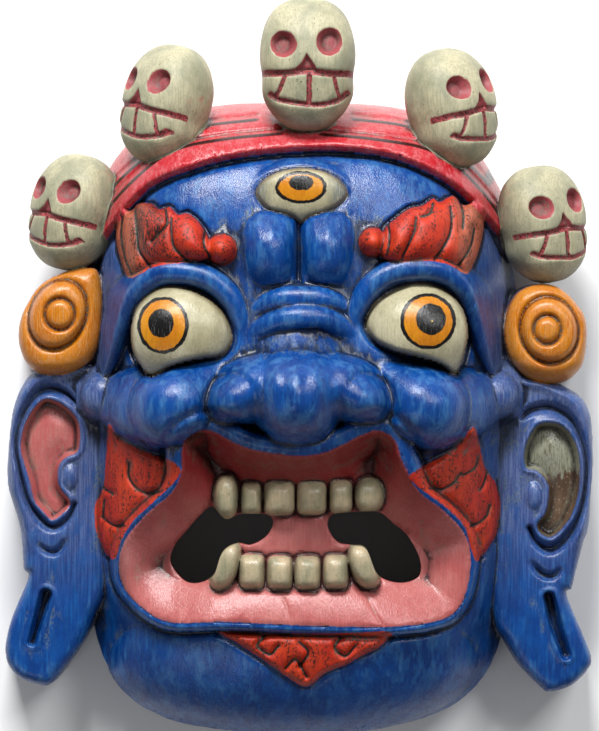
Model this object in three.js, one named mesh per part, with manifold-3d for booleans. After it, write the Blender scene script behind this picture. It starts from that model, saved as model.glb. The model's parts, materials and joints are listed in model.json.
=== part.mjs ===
// Tibetan cham mask: a wrathful three-eyed face, carved from one block of wood together with its
// crown band, five small skulls, long ears and ear discs. It is hollow behind and open at the mouth.
// Millimetres. The mask lies on its back: X across the face, +Y to the crown, +Z out of the face.
// The flat back rim lies on z = 0, and the origin is under the middle of the whole outline.
import * as THREE from 'three';
import { mergeVertices } from 'three/addons/utils/BufferGeometryUtils.js';
import Module from 'manifold-3d';

const wasm = await Module();
wasm.setup();
const { Manifold, Mesh } = wasm;

// Driving dimensions of the whole mask.
const WIDTH = 343; // over both ears
const HEIGHT = 422; // middle skull to chin
const FACE_HALF_WIDTH = 130; // face without the ears
const FACE_MIDDLE_Y = -28; // height on the face where its outline is widest
const ROOT_Y = 40; // the roots of the skulls run in toward this height on the face
const CROWN_Y = 154; // top of the head under the skulls
const FACE_DEPTH = 112; // rim to the plain of the face, before nose and brows
const WALL = 18; // thickness of the wall at the back rim
const HOLLOW_DEPTH = 78; // rim to the back of the mouth

// Driving dimensions of the features.
const CROWN_BAND = { rise: 7, halfSpan: 128, footY: 62, topY: 124 };
const DISC = { leftY: 30, rightY: 23, radius: 23, front: 74, back: 12, ring: 17.5, knob: 8.7, groove: 2.2 };
const EAR = { back: 8, front: 54, bevel: 6 };
const EYE = { x: 67, y: 22, z: 102, rx: 32, ry: 28, rz: 21, lid: 5.5 };
const THIRD_EYE = { x: 1, y: 99, z: 97, rx: 25, ry: 16, rz: 13 };
const NOSE = { x: 2, y: -13, z: 128, rx: 24, ry: 28, rz: 30 };
const TOOTH = { width: 13.5, root: 92, upperY: -73, lowerY: -116 };
const LIP_RADIUS = 7;
const SKULL = { width: 55, height: 76, depth: 50, socket: 8.5, cut: 2 };

// Exponents of the outline and of the rounding from the face down to the rim.
const OUTLINE_POWER = { crown: 3.5, chin: 3.8 };
const ROUNDING_POWER = { crown: 8, side: 2.7, chin: 3 };
const ROUNDING_ROOT = 1.9;
const FOREHEAD_SLOPE = 0.12; // how much lower the front lies at the crown, as a share of the depth

const FINEST = 0.5; // facets that differ by less than this are joined

const vector = (x, y, z) => new THREE.Vector3(x, y, z);

// A closed three.js geometry as a solid that booleans can use.
function solid(geometry) {
  const bare = new THREE.BufferGeometry();
  bare.setAttribute('position', geometry.getAttribute('position').clone());
  if (geometry.index) bare.setIndex(geometry.index.clone());
  const welded = mergeVertices(bare, 1e-3);
  const mesh = new Mesh({
    numProp: 3,
    vertProperties: Float32Array.from(welded.getAttribute('position').array),
    triVerts: Uint32Array.from(welded.index.array),
  });
  return new Manifold(mesh);
}

// Moves every point of a geometry by a function of that point.
function reshape(geometry, move) {
  const places = geometry.getAttribute('position');
  const point = new THREE.Vector3();
  for (let i = 0; i < places.count; i += 1) {
    point.fromBufferAttribute(places, i);
    move(point);
    places.setXYZ(i, point.x, point.y, point.z);
  }
  return geometry;
}

// An ellipsoid, turned about Z by `turn` degrees.
function ball(x, y, z, rx, ry, rz, turn = 0, around = 20, down = 12) {
  const geometry = new THREE.SphereGeometry(1, around, down);
  geometry.rotateX(Math.PI / 2);
  geometry.scale(rx, ry, rz);
  geometry.rotateZ(THREE.MathUtils.degToRad(turn));
  geometry.translate(x, y, z);
  return solid(geometry);
}

// A round roll of wood along a smooth curve. Each point is [x, y, z, radius].
function roll(points, steps = 12, sides = 8) {
  const curve = new THREE.CatmullRomCurve3(points.map(([x, y, z]) => vector(x, y, z)));
  const thickness = new THREE.SplineCurve(points.map((p, i) => new THREE.Vector2(i, p[3])));
  const geometry = new THREE.CylinderGeometry(1, 1, 1, sides, steps);
  return solid(reshape(geometry, (point) => {
    const along = THREE.MathUtils.clamp(point.y + 0.5, 0, 1);
    const middle = curve.getPoint(along);
    const heading = curve.getTangent(along);
    const across = new THREE.Vector3().crossVectors(heading, vector(0, 0, 1)).normalize();
    const outward = new THREE.Vector3().crossVectors(across, heading).normalize();
    const radius = thickness.getPoint(along).y;
    const [side, front] = [point.x * radius, point.z * radius];
    point.copy(middle).addScaledVector(across, side).addScaledVector(outward, front);
  }));
}

// A flat plate with a smooth closed outline and a rounded front edge, from z = back to z = front.
function plate(outline, back, front, bevel, points = 40) {
  const curve = new THREE.SplineCurve(outline.concat([outline[0]]).map((p) => new THREE.Vector2(...p)));
  const shape = new THREE.Shape(curve.getSpacedPoints(points).slice(0, -1));
  const depth = front - back - bevel;
  const options = { depth, bevelThickness: bevel, bevelSize: bevel * 0.8, bevelOffset: -bevel * 0.8 };
  const geometry = new THREE.ExtrudeGeometry(shape, { ...options, bevelSegments: 1, steps: 1 });
  geometry.translate(0, 0, back);
  return solid(geometry);
}

// The same points on the other side of the face.
const mirrored = (points) => points.map(([x, ...rest]) => [-x, ...rest]);

// Signed power, which keeps the side of the middle that a value is on.
const power = (value, exponent) => Math.sign(value) * Math.abs(value) ** exponent;

// A dome over the outline of the face. `inset` draws its outline in, and `depth` is its height.
function dome(inset, depth, rounding, around, rings) {
  const profile = [new THREE.Vector2(0, 0)];
  for (let ring = 0; ring <= rings; ring += 1) {
    const turn = (ring / rings) * (Math.PI / 2);
    profile.push(new THREE.Vector2(ring === rings ? 0 : Math.cos(turn), Math.sin(turn)));
  }
  const geometry = new THREE.LatheGeometry(profile, around);
  geometry.rotateX(Math.PI / 2);
  return solid(reshape(geometry, (point) => {
    const reach = Math.hypot(point.x, point.y);
    const angle = Math.atan2(point.y, point.x);
    const isCrown = angle > 0;
    const halfHeight = (isCrown ? CROWN_Y - FACE_MIDDLE_Y : HEIGHT / 2 + FACE_MIDDLE_Y) - inset;
    const share = 2 / (isCrown ? OUTLINE_POWER.crown : OUTLINE_POWER.chin);
    const upright = Math.sin(angle) ** 2;
    const end = isCrown ? rounding.crown : rounding.chin;
    const exponent = rounding.side + (end - rounding.side) * upright;
    const slope = isCrown ? 1 - FOREHEAD_SLOPE * upright * reach ** 2 : 1;
    const height = point.z > 1e-6 ? slope * depth * (1 - reach ** exponent) ** (1 / ROUNDING_ROOT) : 0;
    point.x = power(Math.cos(angle), share) * (FACE_HALF_WIDTH - inset) * reach;
    point.y = power(Math.sin(angle), share) * halfHeight * reach + FACE_MIDDLE_Y;
    point.z = height;
  }));
}

// The upper mouth is narrow between the cheeks, and the mouth flares out below it. These are the
// corners of its outer edge, from the middle of the upper lip round to the middle of the lower lip.
const MOUTH_TOP = [[-5, -50], [-24, -47.5], [-42, -40], [-58, -38], [-66, -50], [-70, -66]];
const MOUTH_BOTTOM = [[-84, -76], [-98, -97], [-99, -121], [-86, -138], [-57, -145], [-10, -146]];
const MOUTH_EDGE = MOUTH_TOP.concat(MOUTH_BOTTOM);
const MOUTH_OUTLINE = MOUTH_EDGE.concat(mirrored(MOUTH_EDGE).reverse());

// Mouth hole on one side: a lobe under the upper teeth and a larger one beside the lower teeth.
const MOUTH_HOLE = [[-17, -82], [-15, -91], [-26, -97], [-38, -102], [-46, -120], [-60, -122],
  [-70, -113], [-71, -100], [-60, -90], [-50, -80], [-36, -81]];

const EAR_OUTLINE = [[-124, -4], [-148, 0], [-164, -15], [-171.5, -44], [-168, -76], [-162, -104],
  [-165, -124], [-171.5, -156], [-168, -178], [-154, -187], [-138, -176], [-127, -160], [-122, -120],
  [-122, -60]];
const EAR_BOWL = [[-136, -16], [-152, -22], [-160, -44], [-158, -70], [-148, -86], [-140, -84],
  [-139, -66], [-132, -54], [-132, -30]];

// Head: the blank that every feature is carved on.
function head() {
  const blank = dome(0, FACE_DEPTH, ROUNDING_POWER, 40, 9);
  const middle = ball(0, -8, 50, 102, 62, 66, 0, 18, 12);
  return Manifold.union([blank, middle]);
}

// Broad red band over the crown, which stands proud of the forehead and runs over the top to the rim.
function crownBand() {
  const shell = dome(-CROWN_BAND.rise / 2, FACE_DEPTH + CROWN_BAND.rise, ROUNDING_POWER, 40, 9);
  const { halfSpan, footY, topY } = CROWN_BAND;
  const sag = topY - footY;
  const edge = [];
  const steps = 16;
  for (let i = 0; i <= steps; i += 1) {
    const share = -1 + (2 * i) / steps;
    edge.push([halfSpan * share, topY - sag * Math.abs(share) ** 2.2]);
  }
  const far = HEIGHT;
  const shape = new THREE.Shape(
    [[-far, far], [-far, footY], ...edge, [far, footY], [far, far]]
      .reverse().map((p) => new THREE.Vector2(...p)),
  );
  const keep = solid(new THREE.ExtrudeGeometry(shape, { depth: far, bevelEnabled: false }));
  return Manifold.intersection(shell, keep);
}

// One small skull. It looks along +Z and is then turned aside by `yaw` and leaned over by `lean`.
function skull(x, y, z, size, yaw, lean) {
  const { width, height, depth, socket, cut } = SKULL;
  const bone = new THREE.SphereGeometry(1, 12, 7);
  bone.rotateX(Math.PI / 2);
  reshape(bone, (point) => {
    const jaw = THREE.MathUtils.smoothstep(-point.y, -0.1, 0.9);
    point.x *= (width / 2) * (1 - 0.12 * jaw);
    point.y *= height / 2;
    point.z *= (depth / 2) * (1 + 0.06 * jaw);
  });
  const cuts = [ball(0, -0.07 * height, 0.5 * depth, 4, 7, 5, 0, 6, 4)];
  for (const side of [-0.24, 0.24]) {
    cuts.push(ball(side * width, 0.14 * height, 0.42 * depth, socket, socket, socket, 0, 7, 4));
  }
  const grin = [[-0.48, 0.2], [0, 0.53], [0.48, 0.2]]
    .map(([across, out]) => [across * width, -0.12 * height, out * depth, cut]);
  cuts.push(roll(grin, 3, 3));
  const carved = Manifold.difference([solid(bone), ...cuts]);
  const placed = carved.scale(size).rotate([0, yaw, 0]).rotate([0, 0, lean]).translate([x, y, z]);
  const inward = vector(-x, ROOT_Y - y, 0).normalize();
  const root = roll([[0, 8, 15], [20, 24, 17], [38, 34, 15]]
    .map(([far, down, r]) => [x + inward.x * far, y + inward.y * far, z - down, r]), 2, 5);
  return Manifold.union([placed, root]);
}

// The five skulls along the crown band, as x, y, z, size, yaw and lean.
const SKULL_PLACES = [
  [4.5, 174, 86, 1, 0, 0],
  [-77, 152, 72, 0.92, -34, -16],
  [88, 150, 72, 0.92, 34, 14],
  [-132, 91, 50, 0.88, -26, -8],
  [142, 84, 50, 0.88, 26, 8],
];

function skulls() {
  return SKULL_PLACES.map((place) => skull(...place));
}

// A gilt disc over each ear, turned with a ring and a knob.
function earDisc(side, y) {
  const { radius, front, back, ring, knob, groove } = DISC;
  const long = front - back;
  const outline = [[0, 0], [radius - 2, 0], [radius, 3], [radius, long - 8], [ring + 1.8, long],
    [ring, long - groove], [ring - 1.8, long], [knob + 1.5, long - 0.8], [knob, long - groove - 1],
    [knob - 1.5, long - 0.5], [0, long + 1]];
  const profile = outline.map((p) => new THREE.Vector2(...p));
  const geometry = new THREE.LatheGeometry(profile, 16);
  geometry.rotateX(Math.PI / 2);
  geometry.translate(side * (WIDTH / 2 - 4 - radius), y, back);
  return solid(geometry);
}

// Long ear: a bowl with a raised rim, and a hanging lobe with a slit.
function ear(mirror) {
  const place = (points) => (mirror ? mirrored(points).reverse() : points);
  const side = mirror ? 1 : -1;
  const blank = plate(place(EAR_OUTLINE), EAR.back, EAR.front, EAR.bevel, 18);
  const cuts = [
    plate(place(EAR_BOWL), EAR.front - 9, EAR.front + 20, 0.5, 12),
    roll([[side * 148, -141, EAR.front, 1], [side * 151, -160, EAR.front, 3],
      [side * 158, -181, EAR.front, 3]], 6, 6),
    roll([[side * 138, -99, EAR.front, 1], [side * 148, -104, EAR.front, 2.5],
      [side * 153, -94, EAR.front, 1]], 6, 6),
  ];
  const tragus = ball(side * 132, -64, EAR.front - 3, 9, 11, 6, 0, 8, 6);
  return Manifold.union([Manifold.difference([blank, ...cuts]), tragus]);
}

// Bulging eye with the heavy lid that arches over it from the nose to the cheek.
function eye(side) {
  const { x, y, z, rx, ry, rz, lid } = EYE;
  const lidPoints = [[-32, 14, 106, 3], [-35, 36, 108, lid], [-47, 52, 108, lid + 1],
    [-67, 57, 107, lid + 1.5], [-85, 53, 102, lid + 1], [-99, 38, 92, lid], [-107, 12, 80, lid],
    [-113, -8, 70, 3]];
  return [
    ball(side * x, y, z, rx, ry, rz, -side * 8, 14, 8),
    roll(side < 0 ? lidPoints : mirrored(lidPoints), 11, 6),
  ];
}

// Third eye, upright in the middle of the forehead, in a raised almond of its own.
function thirdEye() {
  const { x, y, z, rx, ry, rz } = THIRD_EYE;
  return ball(x, y, z, rx, ry, rz, 0, 14, 8);
}

// Twisted tuft of an eyebrow, fat at its outer end, with a knob at its inner end.
function brow(side) {
  const tuft = [[103, 90, 80, 8], [100, 73, 88, 16], [85, 75, 96, 18], [67, 70, 102, 14],
    [53, 65, 105, 9], [49, 64, 105, 6]];
  const knob = ball(side * 43, 66, 107, 8.5, 8.5, 9, 0, 7, 5);
  return [roll(side > 0 ? tuft : mirrored(tuft), 8, 7), knob];
}

// Two frowning bulges with a crease between them, and two wrinkles across the top of the nose.
function frown() {
  return [
    ball(-16, 67, 97, 16.5, 21, 22, 6, 12, 8),
    ball(15, 67, 97, 16.5, 21, 22, -6, 12, 8),
    roll([[-33, 28, 102, 3], [-18, 37, 107, 7], [0, 40, 110, 7.5], [18, 37, 107, 7],
      [33, 28, 102, 3]], 7, 7),
    roll([[-37, 15, 104, 3], [-20, 25, 108, 8], [0, 30, 113, 9], [20, 25, 108, 8],
      [37, 15, 104, 3]], 7, 7),
  ];
}

// Broad nose with flared wings, and the fat rolls of the cheeks beside it.
function noseAndCheeks() {
  const { x, y, z, rx, ry, rz } = NOSE;
  const ridge = [[0, 36, 104, 16], [0, 20, 110, 22], [1, 2, 122, 25], [2, -16, 126, 26],
    [2, -32, 122, 18]];
  const parts = [ball(x, y, z, rx, ry, rz, 0, 14, 9), roll(ridge, 5, 11)];
  for (const side of [-1, 1]) {
    const cheek = [[42, -6, 100, 6], [56, -13, 104, 16], [72, -20, 105, 23], [88, -22, 96, 22],
      [100, -20, 84, 14], [108, -18, 76, 4]];
    parts.push(
      ball(side * 35, -18, 114, 17, 17, 24, 0, 12, 8),
      roll(side > 0 ? cheek : mirrored(cheek), 8, 10),
    );
  }
  return parts;
}

// Rolled edge of the open mouth.
function lips() {
  const front = (x, y) => 101 - 16 * (x / 100) ** 2 + (y > -60 ? 4 : 0);
  const ring = MOUTH_OUTLINE.map(([x, y]) => [x, y, front(x, y), LIP_RADIUS]);
  const middle = ring.length / 2;
  const left = [ring.at(-1), ...ring.slice(0, middle + 1)];
  const right = [...ring.slice(middle - 1), ring[0], ring[1]];
  return [roll(left, 15, 5), roll(right, 15, 5)];
}

// The open mouth slopes in from the lips like a funnel.
function mouthFunnel() {
  const floor = 90;
  const slope = 14;
  const curve = new THREE.SplineCurve(
    MOUTH_OUTLINE.concat([MOUTH_OUTLINE[0]]).map((p) => new THREE.Vector2(...p)),
  );
  const shape = new THREE.Shape(curve.getSpacedPoints(24).slice(0, -1));
  const options = { depth: 60, bevelThickness: slope, bevelSize: slope, bevelOffset: -slope };
  const geometry = new THREE.ExtrudeGeometry(shape, { ...options, bevelSegments: 1, steps: 1 });
  return solid(geometry.translate(0, 0, floor + slope));
}

// Row of teeth with a fang at each end.
function teeth(y, inward) {
  const parts = [];
  for (const x of [-28, -12, 5, 22]) {
    parts.push(ball(x, y, TOOTH.root, TOOTH.width / 2 + 1.5, 12, 13, 0, 5, 4));
  }
  for (const x of [-42, 39]) {
    parts.push(ball(x, y + inward * 3, TOOTH.root, TOOTH.width / 2, 14, 14, 0, 5, 4));
  }
  return parts;
}

// Two holes through the mouth, one each side of the tongue.
function mouthHoles() {
  return [MOUTH_HOLE, mirrored(MOUTH_HOLE).reverse()]
    .map((outline) => plate(outline, 20, 200, 0.5, 14));
}

// The hollow behind the face, deepest behind the eyes and nose.
function hollow() {
  const rounding = { crown: 5, side: 3.5, chin: 4 };
  const behindNose = ball(0, 12, 50, 98, 62, 56, 0, 14, 8);
  return Manifold.union([dome(WALL, HOLLOW_DEPTH, rounding, 28, 6), behindNose]);
}

// The whole carving as one solid.
function mask() {
  const discs = [earDisc(-1, DISC.leftY), earDisc(1, DISC.rightY)];
  const features = [...eye(-1), ...eye(1), thirdEye(), ...brow(-1), ...brow(1), ...frown()];
  const blank = Manifold.union([head(), crownBand(), ear(false), ear(true), ...discs, ...skulls(),
    ...features, ...noseAndCheeks()]);
  const opened = Manifold.difference([blank, mouthFunnel()]);
  const mouthed = Manifold.union([opened, ...lips(), ...teeth(TOOTH.upperY, -1), ...teeth(TOOTH.lowerY, 1)]);
  const below = new THREE.BoxGeometry(2 * HEIGHT, 2 * HEIGHT, HEIGHT);
  const underside = solid(below.translate(0, 0, -HEIGHT / 2));
  return Manifold.difference([mouthed, hollow(), ...mouthHoles(), underside]).simplify(FINEST);
}

// A solid as a three.js geometry with flat facets.
function geometryOf(manifold) {
  const mesh = manifold.getMesh();
  const geometry = new THREE.BufferGeometry();
  geometry.setAttribute('position', new THREE.BufferAttribute(mesh.vertProperties, 3));
  geometry.setIndex(new THREE.BufferAttribute(mesh.triVerts, 1));
  geometry.computeVertexNormals();
  return geometry;
}

const paintedWood = new THREE.MeshStandardMaterial({ color: 0x1d4f9c, roughness: 0.45, metalness: 0 });

const group = new THREE.Group();
const mesh = new THREE.Mesh(geometryOf(mask()), paintedWood);
mesh.name = 'mask';
group.add(mesh);

export default group;
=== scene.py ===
"""A carved wooden dance mask: a wrathful face with three eyes, a crown band with five skulls, long ears
with gilt discs, and an open mouth. It lies on its back. The whole mask is one block of painted wood."""
import json
import math

import bmesh
import bpy
import numpy as np
from mathutils import Matrix, Vector

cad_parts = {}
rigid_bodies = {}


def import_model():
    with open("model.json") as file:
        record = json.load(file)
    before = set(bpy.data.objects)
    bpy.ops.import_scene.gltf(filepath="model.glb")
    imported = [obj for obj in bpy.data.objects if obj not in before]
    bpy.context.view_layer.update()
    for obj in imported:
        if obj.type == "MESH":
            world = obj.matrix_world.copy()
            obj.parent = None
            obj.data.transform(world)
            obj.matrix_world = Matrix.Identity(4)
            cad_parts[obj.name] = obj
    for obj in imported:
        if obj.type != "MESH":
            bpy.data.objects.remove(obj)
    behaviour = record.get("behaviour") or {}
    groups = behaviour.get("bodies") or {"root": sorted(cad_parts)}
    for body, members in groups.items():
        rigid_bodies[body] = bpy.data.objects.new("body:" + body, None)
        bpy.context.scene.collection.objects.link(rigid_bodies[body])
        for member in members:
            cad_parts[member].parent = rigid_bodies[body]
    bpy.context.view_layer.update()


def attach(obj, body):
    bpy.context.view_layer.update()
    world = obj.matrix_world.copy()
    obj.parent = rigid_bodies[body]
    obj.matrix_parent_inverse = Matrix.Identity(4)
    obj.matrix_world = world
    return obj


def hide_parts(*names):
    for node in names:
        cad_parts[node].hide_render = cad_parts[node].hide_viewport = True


bl_info = {
    "name": "Carved dance mask",
    "version": (1, 0, 0),
    "blender": (4, 5, 0),
    "location": "3D View > Sidebar > Mask",
    "description": "Carves, joins and paints a wooden dance mask around its packed frame",
    "category": "Object",
}

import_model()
MILLIMETRE = 0.001
FAR = 1.0e3
CLEAR = 60.0  # the distance noted where a feature is out of the way, in millimetres

# Outline of the head, in millimetres. It is widest at MIDDLE_Y.
HALF_WIDTH, MIDDLE_Y, CROWN_Y, CHIN_Y = 130.0, -28.0, 154.0, -211.0
CROWN_SQUARE, CHIN_SQUARE = 3.5, 3.8
ROUNDING = (8.0, 2.7, 3.0)  # crown, side, chin
ROUNDING_ROOT = 1.9
FOREHEAD_SLOPE = 0.12
FACE_DEPTH, HOLLOW_DEPTH = 112.0, 78.0
HOLLOW_ROUNDING = (5.0, 3.5, 4.0)


# ------------------------------------------------------------------ soft shapes over a plane
def smooth_max(a, b, soft):
    share = np.clip(0.5 + 0.5 * (a - b) / soft, 0.0, 1.0)
    return b + (a - b) * share + soft * share * (1.0 - share)


def ease(low, high, value):
    share = np.clip((value - low) / (high - low), 0.0, 1.0)
    return share * share * (3.0 - 2.0 * share)


def bell(distance, width):
    return np.exp(-((distance / width) ** 2))


def quarter_round(inward, width):
    """0 at an edge, and 1 from the given width inside it."""
    return np.sqrt(1.0 - (1.0 - np.clip(inward, 0, width) / width) ** 2)


def spline(points, per_span=6, closed=False):
    """A smooth line through the points, with whatever further columns they have."""
    knots = np.array(points, float)
    if closed:
        before, start, end, after = (np.roll(knots, shift, 0) for shift in (1, 0, -1, -2))
    else:
        start, end = knots[:-1], knots[1:]
        before = np.vstack([2 * knots[:1] - knots[1:2], knots[:-2]])
        after = np.vstack([knots[2:], 2 * knots[-1:] - knots[-2:-1]])
    t = (np.arange(per_span) / per_span)[None, :, None]
    before, start, end, after = (k[:, None, :] for k in (before, start, end, after))
    bend = 2 * before - 5 * start + 4 * end - after
    twist = 3 * start - before - 3 * end + after
    line = 0.5 * (2 * start + (end - before) * t + bend * t**2 + twist * t**3)
    line = line.reshape(-1, knots.shape[1])
    return line if closed else np.vstack([line, knots[-1:]])


def nearest(x, y, line, closed=False, reach=40.0):
    """Distance to a line, its further columns at the nearest point, and the share along it."""
    low, high = line[:, :2].min(0) - reach, line[:, :2].max(0) + reach
    near = np.flatnonzero((x > low[0]) & (x < high[0]) & (y > low[1]) & (y < high[1]))
    px, py = x[near], y[near]
    starts = line if closed else line[:-1]
    ends = np.roll(line, -1, axis=0) if closed else line[1:]
    lengths = np.hypot(*(ends - starts)[:, :2].T)
    along = np.concatenate([[0.0], np.cumsum(lengths)])
    best = np.full(len(near), FAR**2)
    values = np.zeros((len(near), line.shape[1] - 1))
    for i, (a, b) in enumerate(zip(starts, ends)):
        dx, dy = b[0] - a[0], b[1] - a[1]
        share = ((px - a[0]) * dx + (py - a[1]) * dy) / max(dx * dx + dy * dy, 1e-9)
        share = np.clip(share, 0.0, 1.0)
        gap = (px - a[0] - share * dx) ** 2 + (py - a[1] - share * dy) ** 2
        closer = gap < best
        best[closer] = gap[closer]
        share = share[closer]
        for k in range(2, line.shape[1]):
            values[closer, k - 2] = a[k] + (b[k] - a[k]) * share
        values[closer, -1] = (along[i] + share * lengths[i]) / along[-1]
    distance = np.full(x.shape, FAR)
    distance[near] = np.sqrt(best)
    columns = np.zeros((len(x), values.shape[1]))
    columns[near] = values
    return distance, columns.T


def line_distance(x, y, lines):
    """Distance to the nearest of several smooth lines."""
    closest = np.full(x.shape, CLEAR)
    for line in lines:
        distance, _ = nearest(x, y, spline(line))
        closest = np.minimum(closest, distance)
    return closest


def inside(x, y, outline):
    low, high = outline.min(0), outline.max(0)
    near = np.flatnonzero((x > low[0]) & (x < high[0]) & (y > low[1]) & (y < high[1]))
    px, py = x[near], y[near]
    odd = np.zeros(len(near), bool)
    for a, b in zip(outline, np.roll(outline, -1, axis=0)):
        if a[1] != b[1]:
            crosses = (a[1] > py) != (b[1] > py)
            odd ^= crosses & (px < (b[0] - a[0]) * (py - a[1]) / (b[1] - a[1]) + a[0])
    result = np.zeros(len(x), bool)
    result[near] = odd
    return result


def edge_distance(x, y, outline, per_span=6, reach=30.0):
    """Distance to a smooth closed outline, negative inside it."""
    edge = spline(outline, per_span, True)
    distance, _ = nearest(x, y, edge, True, reach)
    return np.where(inside(x, y, edge), -distance, distance)


def ellipse_distance(x, y, middle, radii, turn=0.0):
    angle = math.radians(turn)
    dx, dy = x - middle[0], y - middle[1]
    u = (dx * math.cos(angle) + dy * math.sin(angle)) / radii[0]
    v = (dy * math.cos(angle) - dx * math.sin(angle)) / radii[1]
    return (np.hypot(u, v) - 1.0) * min(radii)


def cap(x, y, middle, radii, turn=0.0, power=2.0):
    """Upper side of a round form, which falls away smoothly past its edge."""
    angle = math.radians(turn)
    dx, dy = x - middle[0], y - middle[1]
    u = (dx * math.cos(angle) + dy * math.sin(angle)) / radii[0]
    v = (dy * math.cos(angle) - dx * math.sin(angle)) / radii[1]
    reach = (np.abs(u) ** power + np.abs(v) ** power) ** (1.0 / power)
    height = radii[2] * np.sqrt(np.clip(1.0 - reach**2, 0.0, None))
    return middle[2] + height - 3.0 * np.clip(reach - 1.0, 0.0, None) * min(radii[:2])


def roll(x, y, points, drop=3.0):
    """Upper side of a round roll of wood along a curve. Each point is (x, y, axis height, radius)."""
    distance, (level, radius, _) = nearest(x, y, spline(points, 8))
    radius = np.maximum(radius, 0.3)
    rise = radius * np.sqrt(np.clip(1.0 - (distance / radius) ** 2, 0.0, None))
    top = level + rise - drop * np.clip(distance - radius, 0.0, None)
    return np.where(distance < FAR, top, -FAR)


def lattice(cells, seed):
    """A repeatable value from 0 to 1 for each cell of a lattice."""
    mixed = cells[..., 0] * 73856093 ^ cells[..., 1] * 19349663 ^ cells[..., 2] * 83492791 ^ seed * 2654435
    mixed = (mixed ^ (mixed >> 13)) * 1274126177
    return ((mixed ^ (mixed >> 16)) & 0xFFFF) / 65535.0


def unevenness(places, size, seed):
    """Smooth noise from -1 to 1. size is its scale in millimetres along each axis."""
    scaled = places / np.array(size, float)
    cell = np.floor(scaled).astype(np.int64)
    share = scaled - cell
    share = share * share * (3.0 - 2.0 * share)
    total = np.zeros(len(places))
    for corner in np.ndindex(2, 2, 2):
        weight = np.prod(np.where(corner, share, 1.0 - share), axis=1)
        total += weight * lattice(cell + np.array(corner), seed)
    return 2.0 * total - 1.0


# ------------------------------------------------------------------ the head
def reach_of(x, y, inset=0.0):
    """Share of the way from the middle of the face to its outline, and how upright that way is."""
    upper = y > MIDDLE_Y
    half = np.where(upper, CROWN_Y - MIDDLE_Y, MIDDLE_Y - CHIN_Y) - inset
    square = np.where(upper, CROWN_SQUARE, CHIN_SQUARE)
    u = np.abs(x) / (HALF_WIDTH - inset)
    v = np.abs(y - MIDDLE_Y) / half
    reach = np.maximum((u**square + v**square) ** (1.0 / square), 1e-6)
    return reach, (v / reach) ** square, upper


def dome(x, y, depth=FACE_DEPTH, inset=0.0, rounding=ROUNDING):
    reach, upright, upper = reach_of(x, y, inset)
    crown, side, chin = rounding
    power = side + (np.where(upper, crown, chin) - side) * upright
    slope = np.where(upper, 1.0 - FOREHEAD_SLOPE * upright * reach**2, 1.0)
    return slope * depth * np.clip(1.0 - reach**power, 0.0, None) ** (1.0 / ROUNDING_ROOT)


def hollow_top(x, y, wall):
    """Height of the hollow behind the face."""
    shell = dome(x, y, HOLLOW_DEPTH, wall, HOLLOW_ROUNDING)
    return np.maximum(shell, cap(x, y, (0, 12, 50), (98, 62, 56)))


EYE_OUTLINE = {
    -1: [(-96, 22), (-92, 36), (-80, 46), (-66, 46), (-52, 40), (-42, 30), (-38, 17), (-43, 8),
         (-58, 5), (-73, 1), (-84, -5), (-91, 2), (-95, 10)],
    1: [(37, 26), (43, 38), (56, 46), (70, 49), (84, 44), (93, 34), (96, 20), (93, 5), (89, -4),
        (80, 2), (68, 6), (53, 10), (42, 16)],
}
LID = {
    -1: [(-115, -12, 62, 2), (-107, 8, 79, 3.5), (-101, 26, 90, 4.5), (-93, 43, 100, 5.5),
         (-80, 53.5, 106, 6.5),
         (-65, 54.5, 109, 7), (-50, 50, 110, 7), (-39, 40, 110, 6.5), (-33, 26, 109, 5), (-31, 12, 106, 3)],
    1: [(114, -10, 62, 2), (106, 10, 79, 3.5), (100, 29, 90, 4.5), (93, 45, 100, 5.5), (81, 55, 106, 6.5),
        (66, 57, 109, 7), (50, 53.5, 110, 7), (38, 44, 110, 6.5), (31, 30, 109, 5), (30, 15, 106, 3)],
}
IRIS = {  # middle of the black ring, its radii, middle of the pupil, its radii, the light in it
    -1: ((-77, 24.5), (14.7, 16.2), (-78, 25.5), (7.3, 8.2), (-79.6, 24.5)),
    1: ((72.5, 26.7), (15.8, 16.0), (74, 27.8), (8.5, 9.0), (74, 26.7)),
}
THIRD_EYE_OUTLINE = [(-25, 99), (-21, 107), (-10, 112.5), (3, 114), (14, 112), (23, 107), (27.5, 99),
                     (22, 92.5), (12, 88), (5, 85.5), (1, 82), (-3, 85.5), (-9, 88), (-18, 90.5)]
THIRD_IRIS = ((0.95, 102.7), (14.8, 9.4), (1.1, 105.3), (7.2, 4.5), (1, 105.6))
BROW_OUTLINE = {
    -1: [(-106, 82), (-102, 91), (-97, 91), (-92, 95), (-84, 94), (-80, 91), (-74, 92), (-69, 87.5),
         (-63, 88), (-56, 82), (-51, 73), (-50, 63), (-64, 60), (-81, 58), (-90, 54), (-98, 52), (-103, 62),
         (-106, 73)],
    1: [(107, 89), (100, 95), (94, 94), (88, 99), (80, 95), (76, 97), (70, 93), (62, 91), (54, 85),
        (48, 79), (46, 64), (56, 60), (71, 61), (84, 59), (94, 54), (99, 58), (105, 73)],
}
BROW_CUTS = {
    -1: [[(-101.5, 90), (-102.3, 76), (-99.5, 62), (-95.5, 53.5)],
          [(-94, 91), (-92, 73), (-90.6, 66), (-84, 57)],
         [(-72.6, 85), (-72.4, 77), (-70.4, 68), (-63, 60.6)],
          [(-76, 90), (-75, 82), (-78.6, 77.5), (-84, 72)],
         [(-53.5, 80), (-54, 70), (-50, 62)]],
    1: [[(66, 85), (64.6, 77), (61.8, 70.5), (58, 63)], [(85.8, 92), (86.3, 82.4), (84, 73), (76, 61)],
        [(92, 96), (93.5, 88), (93, 80)], [(100, 80), (98, 70.5), (94, 63.4), (89, 57)],
        [(50, 84), (51, 74), (49.5, 64)], [(76, 94), (74, 88), (69, 86)]],
}
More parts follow.
